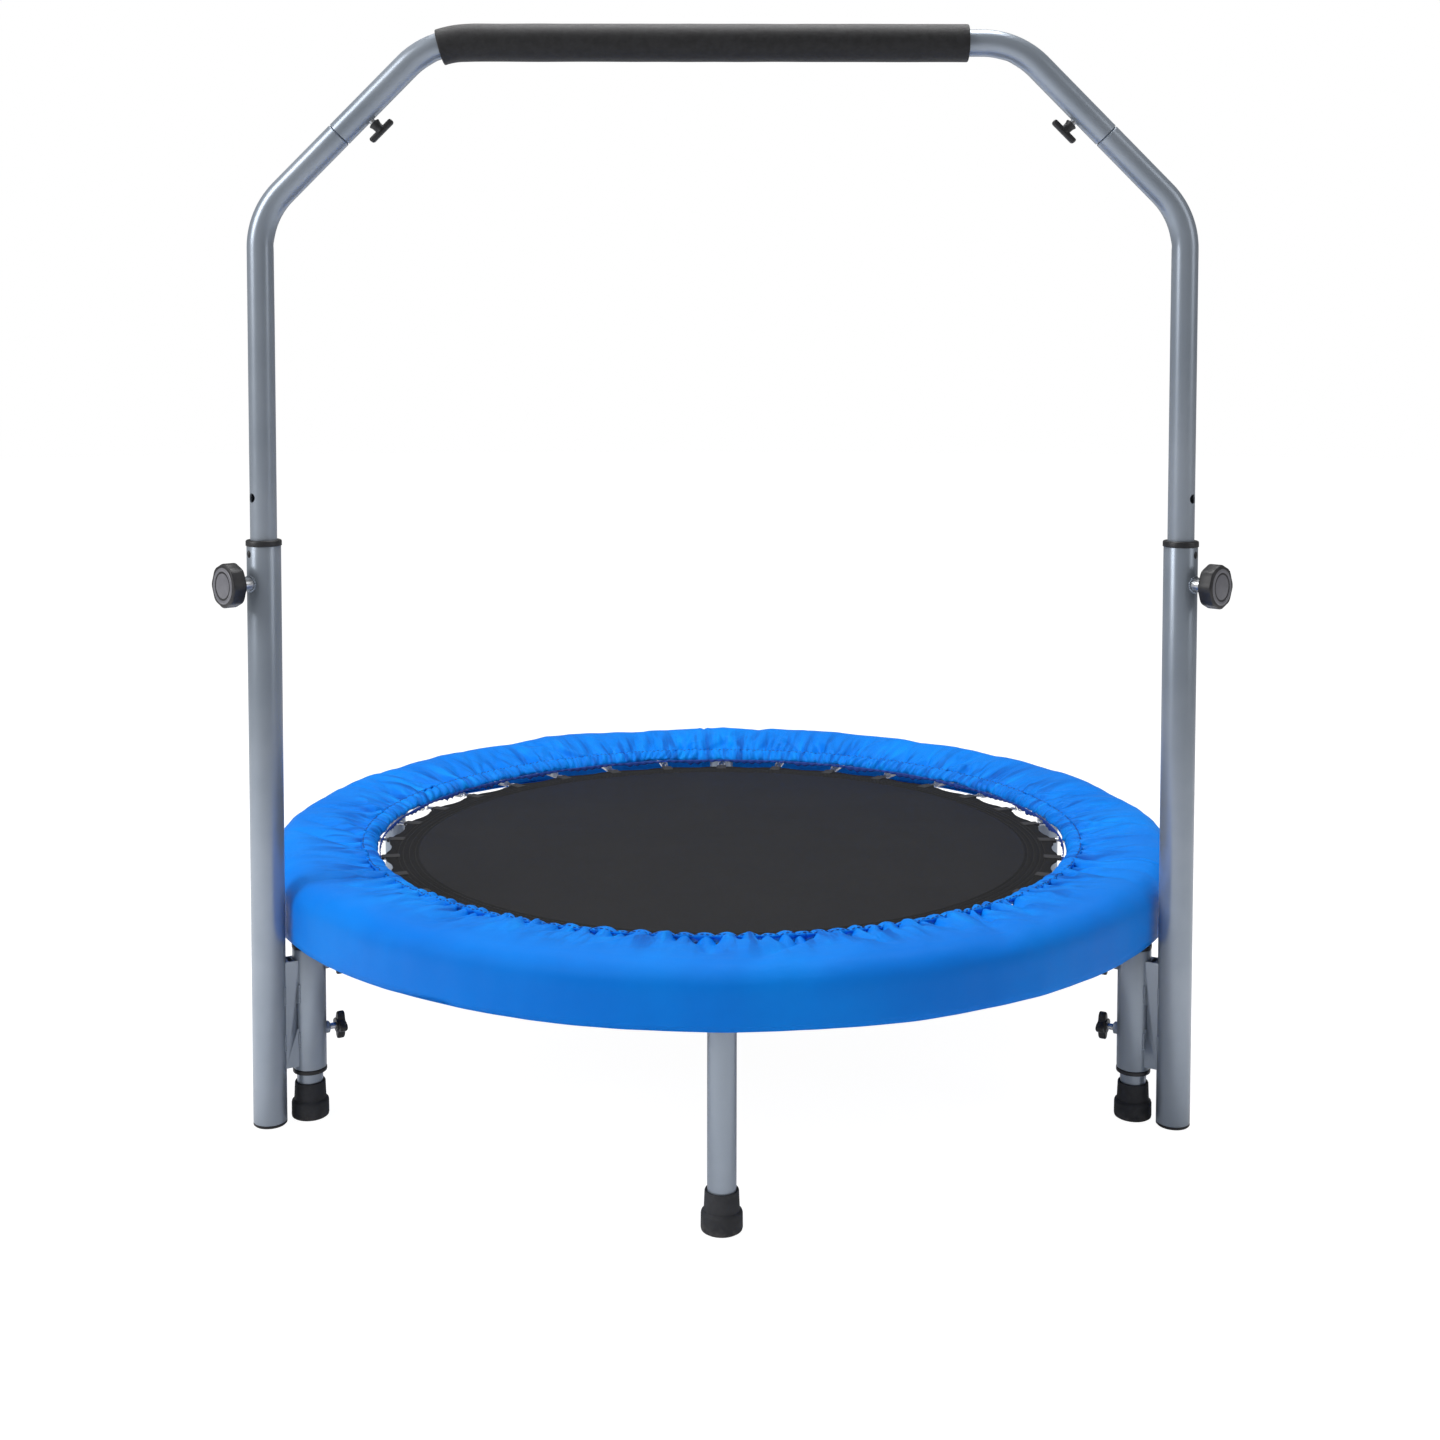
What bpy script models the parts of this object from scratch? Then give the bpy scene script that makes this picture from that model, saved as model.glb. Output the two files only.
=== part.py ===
"""Mini trampoline with a height-adjustable handlebar.

Metres, +Z up. The origin is on the floor, under the centre of the mat. The handlebar
stands at the front, on the -Y side.
"""

import math

import bmesh
import bpy
from mathutils import Matrix, Vector

# Frame
RAIL_R = 0.464  # centre line of the frame's round tube
RAIL_TUBE_R = 0.014
RAIL_WALL = 0.0015
RAIL_Z = 0.216
VENT_R = 0.003

# Legs
LEG_COUNT = 6
LEG_TUBE_R = 0.0125
LEG_WALL = 0.0015
LEG_LOW, LEG_HIGH = 0.0100, 0.193
SOCKET_LOW, SOCKET_HIGH = 0.1790, 0.210
SOCKET_R = 0.0155
FOOT_R = 0.018
FOOT_BAND = 0.015  # height of the foot's wide base
FOOT_HEIGHT = 0.035

# Jumping surface
MAT_Z = 0.2105
MAT_THICKNESS = 0.0016
MAT_R = 0.359
SCALLOP = 0.0045
SPRING_COUNT = 32
SPRING_R = 0.0045
SPRING_INNER, SPRING_OUTER = 0.3675, 0.4480
HOOK_RING_R = 0.0012

# Cover
COVER_R = 0.485
COVER_TOP = 0.243
COVER_LOW = 0.177
COVER_OPENING_R = 0.372
COVER_HEM_Z = 0.2185
COVER_SHELL = 0.0022

# Handlebar
POST_OFFSET = 0.0395  # from a front side leg's axis to its post's axis
POST_TUBE_R = 0.016
POST_WALL = 0.0015
POST_LOW, POST_HIGH = 0.003, 0.560
CAP_DEPTH = 0.012
COLLAR_TOP = 0.566
COLLAR_DEPTH = 0.022
BUTTON_Z = 0.553
BUTTON_R = 0.0028
BAR_TUBE_R = 0.0125
BAR_WALL = 0.0015
UPRIGHT_LOW = 0.270
TOP_Z = 1.034  # centre line of the top bar's level part
TOP_HALF = 0.2747  # half the distance between the top bar's corners
BEND_R = 0.075
JOINT_X = 0.360  # where the uprights enter the top bar's ends
SWAGE_LENGTH = 0.005  # over which an upright's end narrows to its neck
NECK_R = 0.0106
NECK_LENGTH = 0.050
GRIP_R = 0.0175
GRIP_LEFT, GRIP_RIGHT = -0.2635, 0.230
HOLE_R = 0.0045
HOLE_PITCH = 0.081
PIN_Z = 0.525
HOLE_STEPS = (-2, -1, 0, 1)  # height holes, counted from the pin

# Screws and knobs, measured outwards from the axis of the tube they stand on
PIN_R = 0.0035
PIN_TIP = 0.0130
BOSS_R = 0.007
BOSS_END = 0.0285
HEIGHT_KNOB = (0.0300, 0.0445)
HEIGHT_KNOB_R = 0.021
TEE_STUD_R = 0.003
TEE_TIP = 0.0112
TEE_HUB = (0.0155, 0.0235)
TEE_HUB_R = 0.0055
TEE_BAR = (0.028, 0.009, 0.0056)
TEE_FROM_END = 0.030
STAR_STUD_R = 0.003
STAR_TIP = 0.0128
STAR_KNOB = (0.0260, 0.0345)
STAR_R = 0.0135
STAR_HEIGHTS = (0.084, 0.148)
NUT_R = 0.006
NUT_END = 0.0195

# Leg clamps
SLEEVE_R = 0.016
SLEEVE_WALL = 0.0015
SLEEVE_LOW, SLEEVE_HIGH = 0.049, 0.167
BUSH_FLANGE = 0.0040
BUSH_DEPTH = 0.014
BRACKET_LOW, BRACKET_HIGH = 0.0535, 0.1575
BRACKET_WIDTH = 0.018
BRACKET_WALL = 0.002
SLOT = (0.0908, 0.1154)  # the open window in each side of a bracket

GAP = 0.0003  # left between pieces that touch
SIDES = {"left": -1, "right": 1}
MERGE = 0.00001

MODEL = "mini_trampoline"
CUTTERS = "cutters"


def start_scene():
    for thing in list(bpy.data.objects):
        bpy.data.objects.remove(thing, do_unlink=True)
    for name in (MODEL, CUTTERS):
        if name not in bpy.data.collections:
            group = bpy.data.collections.new(name)
            bpy.context.scene.collection.children.link(group)


def finish(name, colour, roughness, metallic):
    made = bpy.data.materials.new(name)
    made.use_nodes = True
    shader = made.node_tree.nodes["Principled BSDF"]
    shader.inputs["Base Color"].default_value = (*colour, 1)
    shader.inputs["Roughness"].default_value = roughness
    shader.inputs["Metallic"].default_value = metallic
    return made


def place(name, mesh, material, matrix=None, group=MODEL):
    """Link a new object that holds the mesh."""
    thing = bpy.data.objects.new(name, mesh)
    thing.matrix_world = matrix or Matrix()
    if material:
        mesh.materials.append(material)
    bpy.data.collections[group].objects.link(thing)
    return thing


def facing(direction, at=(0, 0, 0)):
    """The matrix that turns +Z to a direction and moves the origin."""
    turn = Vector(direction).to_track_quat("Z", "Y").to_matrix().to_4x4()
    return Matrix.Translation(at) @ turn


def turned(name, profile, material, matrix=None, steps=18, closed=False, group=MODEL):
    """A turned solid: (radius, height) points, run down the outer side."""
    mesh = bpy.data.meshes.new(name)
    edges = [(i, i + 1) for i in range(len(profile) - 1)]
    if closed:
        edges.append((len(profile) - 1, 0))
    mesh.from_pydata([(r, 0, z) for r, z in profile], edges, [])
    thing = place(name, mesh, material, matrix, group)
    screw = thing.modifiers.new("turn", "SCREW")
    screw.steps = screw.render_steps = steps
    screw.use_merge_vertices = True
    screw.merge_threshold = MERGE
    screw.use_smooth_shade = False
    return thing


def tube(name, radius, wall, low, high, material, matrix=None, steps=18):
    inner = radius - wall
    profile = [(radius, high), (radius, low), (inner, low), (inner, high)]
    return turned(name, profile, material, matrix, steps, closed=True)


def hide(cutter):
    cutter.hide_render = True
    cutter.display_type = "WIRE"
    return cutter


def rod_cutter(name, radius, direction, at, near, far, steps=10):
    """A cylinder that cuts from near to far along a direction."""
    profile = [(0, far), (radius, far), (radius, near), (0, near)]
    return hide(turned(name, profile, None, facing(direction, at), steps, group=CUTTERS))


def box_mesh(name, low, high):
    mesh = bpy.data.meshes.new(name)
    shape = bmesh.new()
    bmesh.ops.create_cube(shape, size=1)
    size = Vector(high) - Vector(low)
    bmesh.ops.scale(shape, vec=size, verts=shape.verts)
    bmesh.ops.translate(shape, vec=(Vector(high) + Vector(low)) / 2, verts=shape.verts)
    shape.to_mesh(mesh)
    shape.free()
    return mesh


def box_cutter(name, low, high, matrix):
    return hide(place(name, box_mesh(name, low, high), None, matrix, CUTTERS))


def boolean(thing, other, operation="DIFFERENCE"):
    modifier = thing.modifiers.new(other.name, "BOOLEAN")
    modifier.operation = operation
    modifier.solver = "EXACT"
    modifier.object = other


def rounded_route(corners, radius, steps=5):
    """The points of a route whose corners are bent to a radius."""
    points = [corners[0]]
    for before, corner, after in zip(corners, corners[1:], corners[2:]):
        back = (before - corner).normalized()
        ahead = (after - corner).normalized()
        half = back.angle(ahead) / 2
        centre = corner + (back + ahead).normalized() * radius / math.sin(half)
        start = corner + back * radius / math.tan(half)
        end = corner + ahead * radius / math.tan(half)
        turn = (start - centre).rotation_difference(end - centre)
        for i in range(steps + 1):
            spin = Matrix.Rotation(turn.angle * i / steps, 3, turn.axis)
            points.append(centre + spin @ (start - centre))
    points.append(corners[-1])
    return points


def bent_tube(name, points, radius, wall, material, swage=None):
    """A hollow tube along points. swage gives the relative radius at each point."""
    curve = bpy.data.curves.new(name, "CURVE")
    curve.dimensions = "3D"
    curve.bevel_depth = radius
    curve.bevel_resolution = 5
    line = curve.splines.new("POLY")
    line.points.add(len(points) - 1)
    for i, (point, at) in enumerate(zip(line.points, points)):
        point.co = (*at, 1)
        point.radius = swage[i] if swage else 1
    guide = place(name, curve, None)
    bpy.context.view_layer.update()
    seen = guide.evaluated_get(bpy.context.evaluated_depsgraph_get())
    mesh = bpy.data.meshes.new_from_object(seen)
    bpy.data.objects.remove(guide)
    shape = bmesh.new()
    shape.from_mesh(mesh)
    bmesh.ops.remove_doubles(shape, verts=shape.verts, dist=MERGE)
    shape.to_mesh(mesh)
    shape.free()
    pipe = place(name, mesh, material)
    shell = pipe.modifiers.new("wall", "SOLIDIFY")
    shell.thickness = wall
    shell.offset = -1
    shell.use_even_offset = True
    return pipe


def make_finishes():
    return {
        "paint": finish("grey_paint", (0.36, 0.40, 0.46), 0.35, 0.4),
        "zinc": finish("zinc", (0.62, 0.63, 0.65), 0.35, 1.0),
        "plastic": finish("black_plastic", (0.02, 0.02, 0.024), 0.45, 0.0),
        "rubber": finish("black_rubber", (0.025, 0.025, 0.027), 0.8, 0.0),
        "foam": finish("black_foam", (0.02, 0.02, 0.02), 0.9, 0.0),
        "mat": finish("mat_weave", (0.03, 0.03, 0.033), 0.7, 0.0),
        "cover": finish("blue_cover", (0.0, 0.22, 0.84), 0.4, 0.0),
    }


def leg_place(number):
    """Where a leg stands. Leg 1 is at the front, and the rest follow anticlockwise."""
    angle = math.tau * (number - 1) / LEG_COUNT - math.pi / 2
    return Vector((RAIL_R * math.cos(angle), RAIL_R * math.sin(angle), 0))


def side_leg(side):
    return leg_place(2 if side > 0 else LEG_COUNT)


def outward(side):
    """The direction from a front side leg to its post: radial, away from the mat."""
    return side_leg(side).normalized()


def pin_way(side):
    """The direction that a height pin and the height holes face."""
    return Vector((side, -1, 0)).normalized()


def post_place(side):
    return side_leg(side) + POST_OFFSET * outward(side)


def make_rail(finishes):
    bpy.ops.mesh.primitive_torus_add(
        major_radius=RAIL_R,
        minor_radius=RAIL_TUBE_R,
        major_segments=48,
        minor_segments=10,
        location=(0, 0, RAIL_Z),
    )
    rail = bpy.context.object
    rail.name = "frame_rail"
    for group in list(rail.users_collection):
        group.objects.unlink(rail)
    bpy.data.collections[MODEL].objects.link(rail)
    rail.data.materials.append(finishes["paint"])
    shell = rail.modifiers.new("wall", "SOLIDIFY")
    shell.thickness = RAIL_WALL
    shell.offset = -1
    for number in range(1, LEG_COUNT + 1):
        at = leg_place(number)
        reach = RAIL_Z - RAIL_TUBE_R
        vent = rod_cutter(
            f"vent_{number}", VENT_R, (0, 0, 1), at, reach - 0.005, reach + 0.005, 6
        )
        boolean(rail, vent)


def make_legs(finishes):
    foot_bore = LEG_TUBE_R + GAP
    foot = [
        (0, LEG_LOW - GAP),
        (foot_bore, LEG_LOW - GAP),
        (foot_bore, FOOT_HEIGHT),
        (foot_bore + 0.0018, FOOT_HEIGHT),
        (FOOT_R - 0.0015, FOOT_BAND + 0.0015),
        (FOOT_R, FOOT_BAND),
        (FOOT_R, 0.0015),
        (FOOT_R - 0.0015, 0),
        (0, 0),
    ]
    socket_bore = LEG_TUBE_R + GAP
    socket = [
        (0, SOCKET_HIGH),
        (SOCKET_R, SOCKET_HIGH),
        (SOCKET_R, SOCKET_LOW),
        (socket_bore, SOCKET_LOW),
        (socket_bore, LEG_HIGH + GAP),
        (0, LEG_HIGH + GAP),
    ]
    for number in range(1, LEG_COUNT + 1):
        at = Matrix.Translation(leg_place(number))
        tube(f"leg_{number}", LEG_TUBE_R, LEG_WALL, LEG_LOW, LEG_HIGH, finishes["paint"], at)
        turned(f"foot_{number}", foot, finishes["rubber"], at, steps=16)
        stub = turned(f"leg_socket_{number}", socket, finishes["paint"], at, steps=16)
        boolean(stub, rail_cutter(number))


def rail_cutter(number):
    """The stretch of rail that a leg socket is shaped to fit, a little fat."""
    at = leg_place(number) + Vector((0, 0, RAIL_Z))
    along = Vector((-at.y, at.x, 0))
    return rod_cutter(f"cope_{number}", RAIL_TUBE_R + 0.0008, along, at, -0.03, 0.03, 24)


def make_mat(finishes):
    """A disc whose edge comes out at each spring's tab."""
    points_per_tab = 4
    count = SPRING_COUNT * points_per_tab
    outline = bmesh.new()
    rim = []
    for i in range(count):
        angle = math.tau * i / count
        radius = MAT_R + SCALLOP * math.cos(SPRING_COUNT * angle)
        rim.append(outline.verts.new((radius * math.cos(angle), radius * math.sin(angle), MAT_Z)))
    outline.faces.new(rim)
    mesh = bpy.data.meshes.new("mat")
    outline.to_mesh(mesh)
    outline.free()
    mat = place("mat", mesh, finishes["mat"])
    sheet = mat.modifiers.new("cloth", "SOLIDIFY")
    sheet.thickness = MAT_THICKNESS
    sheet.offset = 0


def make_springs(finishes):
    """The coil springs as plain rods, on the wire ring that stands for their outer hooks."""
    bpy.ops.mesh.primitive_torus_add(
        major_radius=SPRING_OUTER - 0.004,
        minor_radius=HOOK_RING_R,
        major_segments=64,
        minor_segments=5,
        location=(0, 0, MAT_Z),
    )
    springs = bpy.context.object
    springs.name = "springs"
    for group in list(springs.users_collection):
        group.objects.unlink(springs)
    bpy.data.collections[MODEL].objects.link(springs)
    springs.data.materials.append(finishes["zinc"])
    rods = bmesh.new()
    length = SPRING_OUTER - SPRING_INNER
    for i in range(SPRING_COUNT):
        turn = Matrix.Rotation(math.tau * i / SPRING_COUNT, 4, "Z")
        out = Matrix.Translation(((SPRING_OUTER + SPRING_INNER) / 2, 0, MAT_Z))
        lie = Matrix.Rotation(math.pi / 2, 4, "Y")
        bmesh.ops.create_cone(
            rods,
            cap_ends=True,
            segments=6,
            radius1=SPRING_R,
            radius2=SPRING_R,
            depth=length,
            matrix=turn @ out @ lie,
        )
    mesh = bpy.data.meshes.new("spring_rods")
    rods.to_mesh(mesh)
    rods.free()
    boolean(springs, hide(place("spring_rods", mesh, None, None, CUTTERS)), "UNION")


def make_cover(finishes):
    """A thin shell: hem, top, rounded shoulder and skirt. Its profile is the outer side."""
    outer = [
        (COVER_OPENING_R, COVER_HEM_Z),
        (COVER_OPENING_R + 0.010, COVER_HEM_Z + 0.006),
        (0.402, COVER_TOP - 0.009),
        (0.435, COVER_TOP - 0.001),
        (0.455, COVER_TOP),
        (0.471, COVER_TOP - 0.003),
        (0.481, COVER_TOP - 0.011),
        (COVER_R, COVER_TOP - 0.028),
        (COVER_R, COVER_LOW),
    ]
    cover = turned("cover", outer, finishes["cover"], steps=48)
    shell = cover.modifiers.new("fabric", "SOLIDIFY")
    shell.thickness = COVER_SHELL
    shell.offset = -1


def make_post(name, side, finishes):
    at = post_place(side)
    way = pin_way(side)
    matrix = Matrix.Translation(at)
    post = tube(f"post_{name}", POST_TUBE_R, POST_WALL, POST_LOW, POST_HIGH, finishes["paint"], matrix)
    reach = (POST_TUBE_R - POST_WALL - 0.003, POST_TUBE_R + 0.004)
    pin_at = at + Vector((0, 0, PIN_Z))
    button_at = at + Vector((0, 0, BUTTON_Z))
    boolean(post, rod_cutter(f"pin_hole_{name}", PIN_R + GAP, way, pin_at, *reach))
    boolean(post, rod_cutter(f"button_hole_{name}", BUTTON_R + GAP, way, button_at, *reach, 8))

    plug_r = POST_TUBE_R - POST_WALL - GAP
    flange_r = POST_TUBE_R - 0.0003
    cap = [
        (0, POST_LOW + CAP_DEPTH),
        (plug_r, POST_LOW + CAP_DEPTH),
        (plug_r, POST_LOW - GAP),
        (flange_r, POST_LOW - GAP),
        (flange_r, 0),
        (0, 0),
    ]
    turned(f"post_cap_{name}", cap, finishes["plastic"], matrix)

    bore = BAR_TUBE_R + GAP
    rim_r = POST_TUBE_R + 0.0008
    collar = [
        (bore + 0.001, COLLAR_TOP),
        (rim_r - 0.001, COLLAR_TOP),
        (rim_r, COLLAR_TOP - 0.001),
        (rim_r, POST_HIGH + GAP),
        (plug_r, POST_HIGH + GAP),
        (plug_r, POST_HIGH - COLLAR_DEPTH),
        (bore, POST_HIGH - COLLAR_DEPTH),
        (bore, COLLAR_TOP - 0.001),
    ]
    ring = turned(f"post_collar_{name}", collar, finishes["plastic"], matrix, closed=True)
    button = rod_cutter(f"button_{name}", BUTTON_R, way, button_at, 0.0135, POST_TUBE_R + 0.0004, 8)
    boolean(ring, button, "UNION")

    boss_bore = PIN_R + GAP
    boss = [
        (BOSS_R, BOSS_END),
        (BOSS_R, POST_TUBE_R - 0.004),
        (boss_bore, POST_TUBE_R - 0.004),
        (boss_bore, BOSS_END),
    ]
    nose = turned(f"pin_boss_{name}", boss, finishes["zinc"], facing(way, pin_at), 16, True)
    span = (PIN_Z - 0.02, PIN_Z + 0.02)
    cope = rod_cutter(f"boss_cope_{name}", POST_TUBE_R + GAP, (0, 0, 1), at, *span, 24)
    boolean(nose, cope)

    low, high = HEIGHT_KNOB
    knob = [
        (0, high - 0.0005),
        (HEIGHT_KNOB_R - 0.0045, high - 0.0005),
        (HEIGHT_KNOB_R - 0.0040, high),
        (HEIGHT_KNOB_R - 0.0015, high),
        (HEIGHT_KNOB_R, high - 0.0015),
        (HEIGHT_KNOB_R, low + 0.002),
        (HEIGHT_KNOB_R - 0.002, low),
        (PIN_R, low),
        (PIN_R, PIN_TIP),
        (0, PIN_TIP),
    ]
    turned(f"height_knob_{name}", knob, finishes["plastic"], facing(way, pin_at), 20)


def upright_route(side):
    """Corners of an upright's centre line, then where its thinner neck starts and ends."""
    foot = post_place(side)
    slope = Vector((-side, 0, 1)).normalized()
    joint = Vector((side * JOINT_X, foot.y, TOP_Z - (JOINT_X - TOP_HALF)))
    corner_z = joint.z - (abs(foot.x) - JOINT_X)
    low = Vector((foot.x, foot.y, UPRIGHT_LOW))
    corner = Vector((foot.x, foot.y, corner_z))
    return [low, corner, joint], joint, slope


def make_upright(name, side, finishes):
    corners, joint, slope = upright_route(side)
    shoulder = joint - slope * SWAGE_LENGTH
    points = rounded_route([corners[0], corners[1], shoulder], BEND_R)
    neck = NECK_R / BAR_TUBE_R
    swage = [1] * len(points) + [neck, neck]
    points += [joint - slope * GAP, joint + slope * NECK_LENGTH]
    upright = bent_tube(f"upright_{name}", points, BAR_TUBE_R, BAR_WALL, finishes["paint"], swage)
    reach = (BAR_TUBE_R - BAR_WALL - 0.003, BAR_TUBE_R + 0.003)
    for i, step in enumerate(HOLE_STEPS):
        at = Vector((*post_place(side).xy, PIN_Z + step * HOLE_PITCH))
        boolean(upright, rod_cutter(f"height_hole_{name}_{i}", HOLE_R, pin_way(side), at, *reach))


def tee_place(side):
    """Where a clamping screw's axis meets the top bar's centre line, and its direction."""
    _, joint, slope = upright_route(side)
    down = Vector((-side, 0, -1)).normalized()
    return joint + slope * TEE_FROM_END, down


def top_route():
    y = post_place(1).y
    drop = JOINT_X - TOP_HALF
    left = Vector((-JOINT_X, y, TOP_Z - drop))
    right = Vector((JOINT_X, y, TOP_Z - drop))
    corners = [left, Vector((-TOP_HALF, y, TOP_Z)), Vector((TOP_HALF, y, TOP_Z)), right]
    return rounded_route(corners, BEND_R, steps=6)


def make_top_bar(finishes):
    route = top_route()
    bar = bent_tube("top_bar", route, BAR_TUBE_R, BAR_WALL, finishes["paint"])
    for name, side in SIDES.items():
        at, down = tee_place(side)
        boolean(bar, rod_cutter(f"tee_hole_{name}", TEE_STUD_R + GAP, down, at, 0.008, 0.016, 8))
        make_tee_knob(name, at, down, finishes)
    held = [point for point in route if GRIP_LEFT <= point.x <= GRIP_RIGHT]
    held.append(Vector((GRIP_RIGHT, route[0].y, TOP_Z)))
    bent_tube("foam_grip", held, GRIP_R, GRIP_R - BAR_TUBE_R - GAP, finishes["foam"])


def make_tee_knob(name, at, down, finishes):
    low, high = TEE_HUB
    hub = [
        (0, high + 0.001),
        (TEE_HUB_R, high + 0.001),
        (TEE_HUB_R, low),
        (TEE_STUD_R, low),
        (TEE_STUD_R, TEE_TIP),
        (0, TEE_TIP),
    ]
    knob = turned(f"tee_knob_{name}", hub, finishes["plastic"], facing(down, at), 12)
    length, width, thickness = TEE_BAR
    corner = (-width / 2, -length / 2, high)
    bar = box_mesh(f"tee_bar_{name}", corner, (width / 2, length / 2, high + thickness))
    grip = hide(place(f"tee_bar_{name}", bar, None, facing(down, at), CUTTERS))
    edges = grip.modifiers.new("round", "BEVEL")
    edges.width = 0.0015
    edges.segments = 1
    boolean(knob, grip, "UNION")


def star_mesh(name):
    """A knob with four lobes, round its stud."""
    low, high = STAR_KNOB
    sides = 24
    shape = bmesh.new()
    rim = []
    for i in range(sides):
        angle = math.tau * i / sides
        radius = STAR_R * (0.80 + 0.20 * math.cos(4 * angle))
        rim.append(shape.verts.new((radius * math.cos(angle), radius * math.sin(angle), low)))
    base = shape.faces.new(rim)
    grown = bmesh.ops.extrude_face_region(shape, geom=[base])
    top = [item for item in grown["geom"] if isinstance(item, bmesh.types.BMVert)]
    bmesh.ops.translate(shape, vec=(0, 0, high - low), verts=top)
    bmesh.ops.recalc_face_normals(shape, faces=shape.faces)
    mesh = bpy.data.meshes.new(name)
    shape.to_mesh(mesh)
    shape.free()
    return mesh


def make_star_knob(name, at, inward, finishes):
    knob = place(name, star_mesh(name), finishes["plastic"], facing(inward, at))
    low, _ = STAR_KNOB
    stud = [(0, low + 0.004), (STAR_STUD_R, low + 0.004), (STAR_STUD_R, STAR_TIP), (0, STAR_TIP)]
    rod = hide(turned(f"{name}_stud", stud, None, facing(inward, at), 10, group=CUTTERS))
    boolean(knob, rod, "UNION")


def make_clamp(name, side, finishes):
    """The sleeve round a front side leg, its bushes, bracket and star knobs."""
    at = side_leg(side)
    matrix = Matrix.Translation(at)
    inward = -outward(side)
    ends = (SLEEVE_LOW, SLEEVE_HIGH)
    paint = finishes["paint"]
    sleeve = tube(f"clamp_sleeve_{name}", SLEEVE_R, SLEEVE_WALL, *ends, paint, matrix, 20)
    for level, height in zip(("lower", "upper"), STAR_HEIGHTS):
        stud_at = at + Vector((0, 0, height))
        reach = (SLEEVE_R - 0.001, NUT_END)
        nut = rod_cutter(f"nut_{level}_{name}", NUT_R, inward, stud_at, *reach, 12)
        boolean(sleeve, nut, "UNION")
        reach = (0.011, NUT_END + 0.002)
        thread = rod_cutter(f"thread_{level}_{name}", STAR_STUD_R + GAP, inward, stud_at, *reach)
        boolean(sleeve, thread)
        make_star_knob(f"clamp_knob_{level}_{name}", stud_at, inward, finishes)

    bore = LEG_TUBE_R + GAP
    plug_r = SLEEVE_R - SLEEVE_WALL - GAP
    for level, end, way in (("bottom", SLEEVE_LOW, -1), ("top", SLEEVE_HIGH, 1)):
        face = end + way * GAP
        bush = [
            (SLEEVE_R + 0.0004, face + way * BUSH_FLANGE),
            (SLEEVE_R + 0.0004, face),
            (plug_r, face),
            (plug_r, end - way * BUSH_DEPTH),
            (bore, end - way * BUSH_DEPTH),
            (bore, face + way * BUSH_FLANGE),
        ]
        if way < 0:
            bush.reverse()
        turned(f"clamp_bush_{level}_{name}", bush, finishes["plastic"], matrix, closed=True)

    make_bracket(name, side, finishes)


def make_bracket(name, side, finishes):
    """A box section between sleeve and post, open above and below, with weld slots."""
    at = side_leg(side)
    out = outward(side)
    across = Vector((0, 0, 1)).cross(out)
    turn = Matrix((out, across, Vector((0, 0, 1)))).transposed().to_4x4()
    matrix = Matrix.Translation(at) @ turn
    half = BRACKET_WIDTH / 2
    inner = half - BRACKET_WALL
    far_corner = (POST_OFFSET, half, BRACKET_HIGH)
    mesh = box_mesh(f"clamp_bracket_{name}", (0, -half, BRACKET_LOW), far_corner)
    bracket = place(f"clamp_bracket_{name}", mesh, finishes["paint"], matrix)
    span = (BRACKET_LOW - 0.01, BRACKET_HIGH + 0.01)
    copes = (("sleeve", SLEEVE_R, at), ("post", POST_TUBE_R, post_place(side)))
    for part, radius, middle in copes:
        cope = rod_cutter(f"{part}_cope_{name}", radius + GAP, (0, 0, 1), middle, *span, 24)
        boolean(bracket, cope)
    web = (SLEEVE_R + 0.0015, POST_OFFSET - POST_TUBE_R - 0.0015)
    low_corner, high_corner = (web[0], -inner, span[0]), (web[1], inner, span[1])
    hollow = box_cutter(f"bracket_hollow_{name}", low_corner, high_corner, matrix)
    boolean(bracket, hollow)
    low, high = SLOT
    slot = box_cutter(
        f"slot_{name}", (0.008, -half - 0.001, low), (0.0155, half + 0.001, high), matrix
    )
    boolean(bracket, slot)


def build():
    start_scene()
    finishes = make_finishes()
    make_rail(finishes)
    make_legs(finishes)
    make_mat(finishes)
    make_springs(finishes)
    make_cover(finishes)
    for name, side in SIDES.items():
        make_post(name, side, finishes)
        make_upright(name, side, finishes)
        make_clamp(name, side, finishes)
    make_top_bar(finishes)


build()
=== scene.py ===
"""The looks of a mini trampoline with a height-adjustable handlebar.

Metres, +Z up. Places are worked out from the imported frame, and the sizes that it doesn't
hold are named below.
"""

import math
import random

import bmesh
import bpy
import numpy as np
from mathutils import Matrix, Vector, noise


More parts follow.
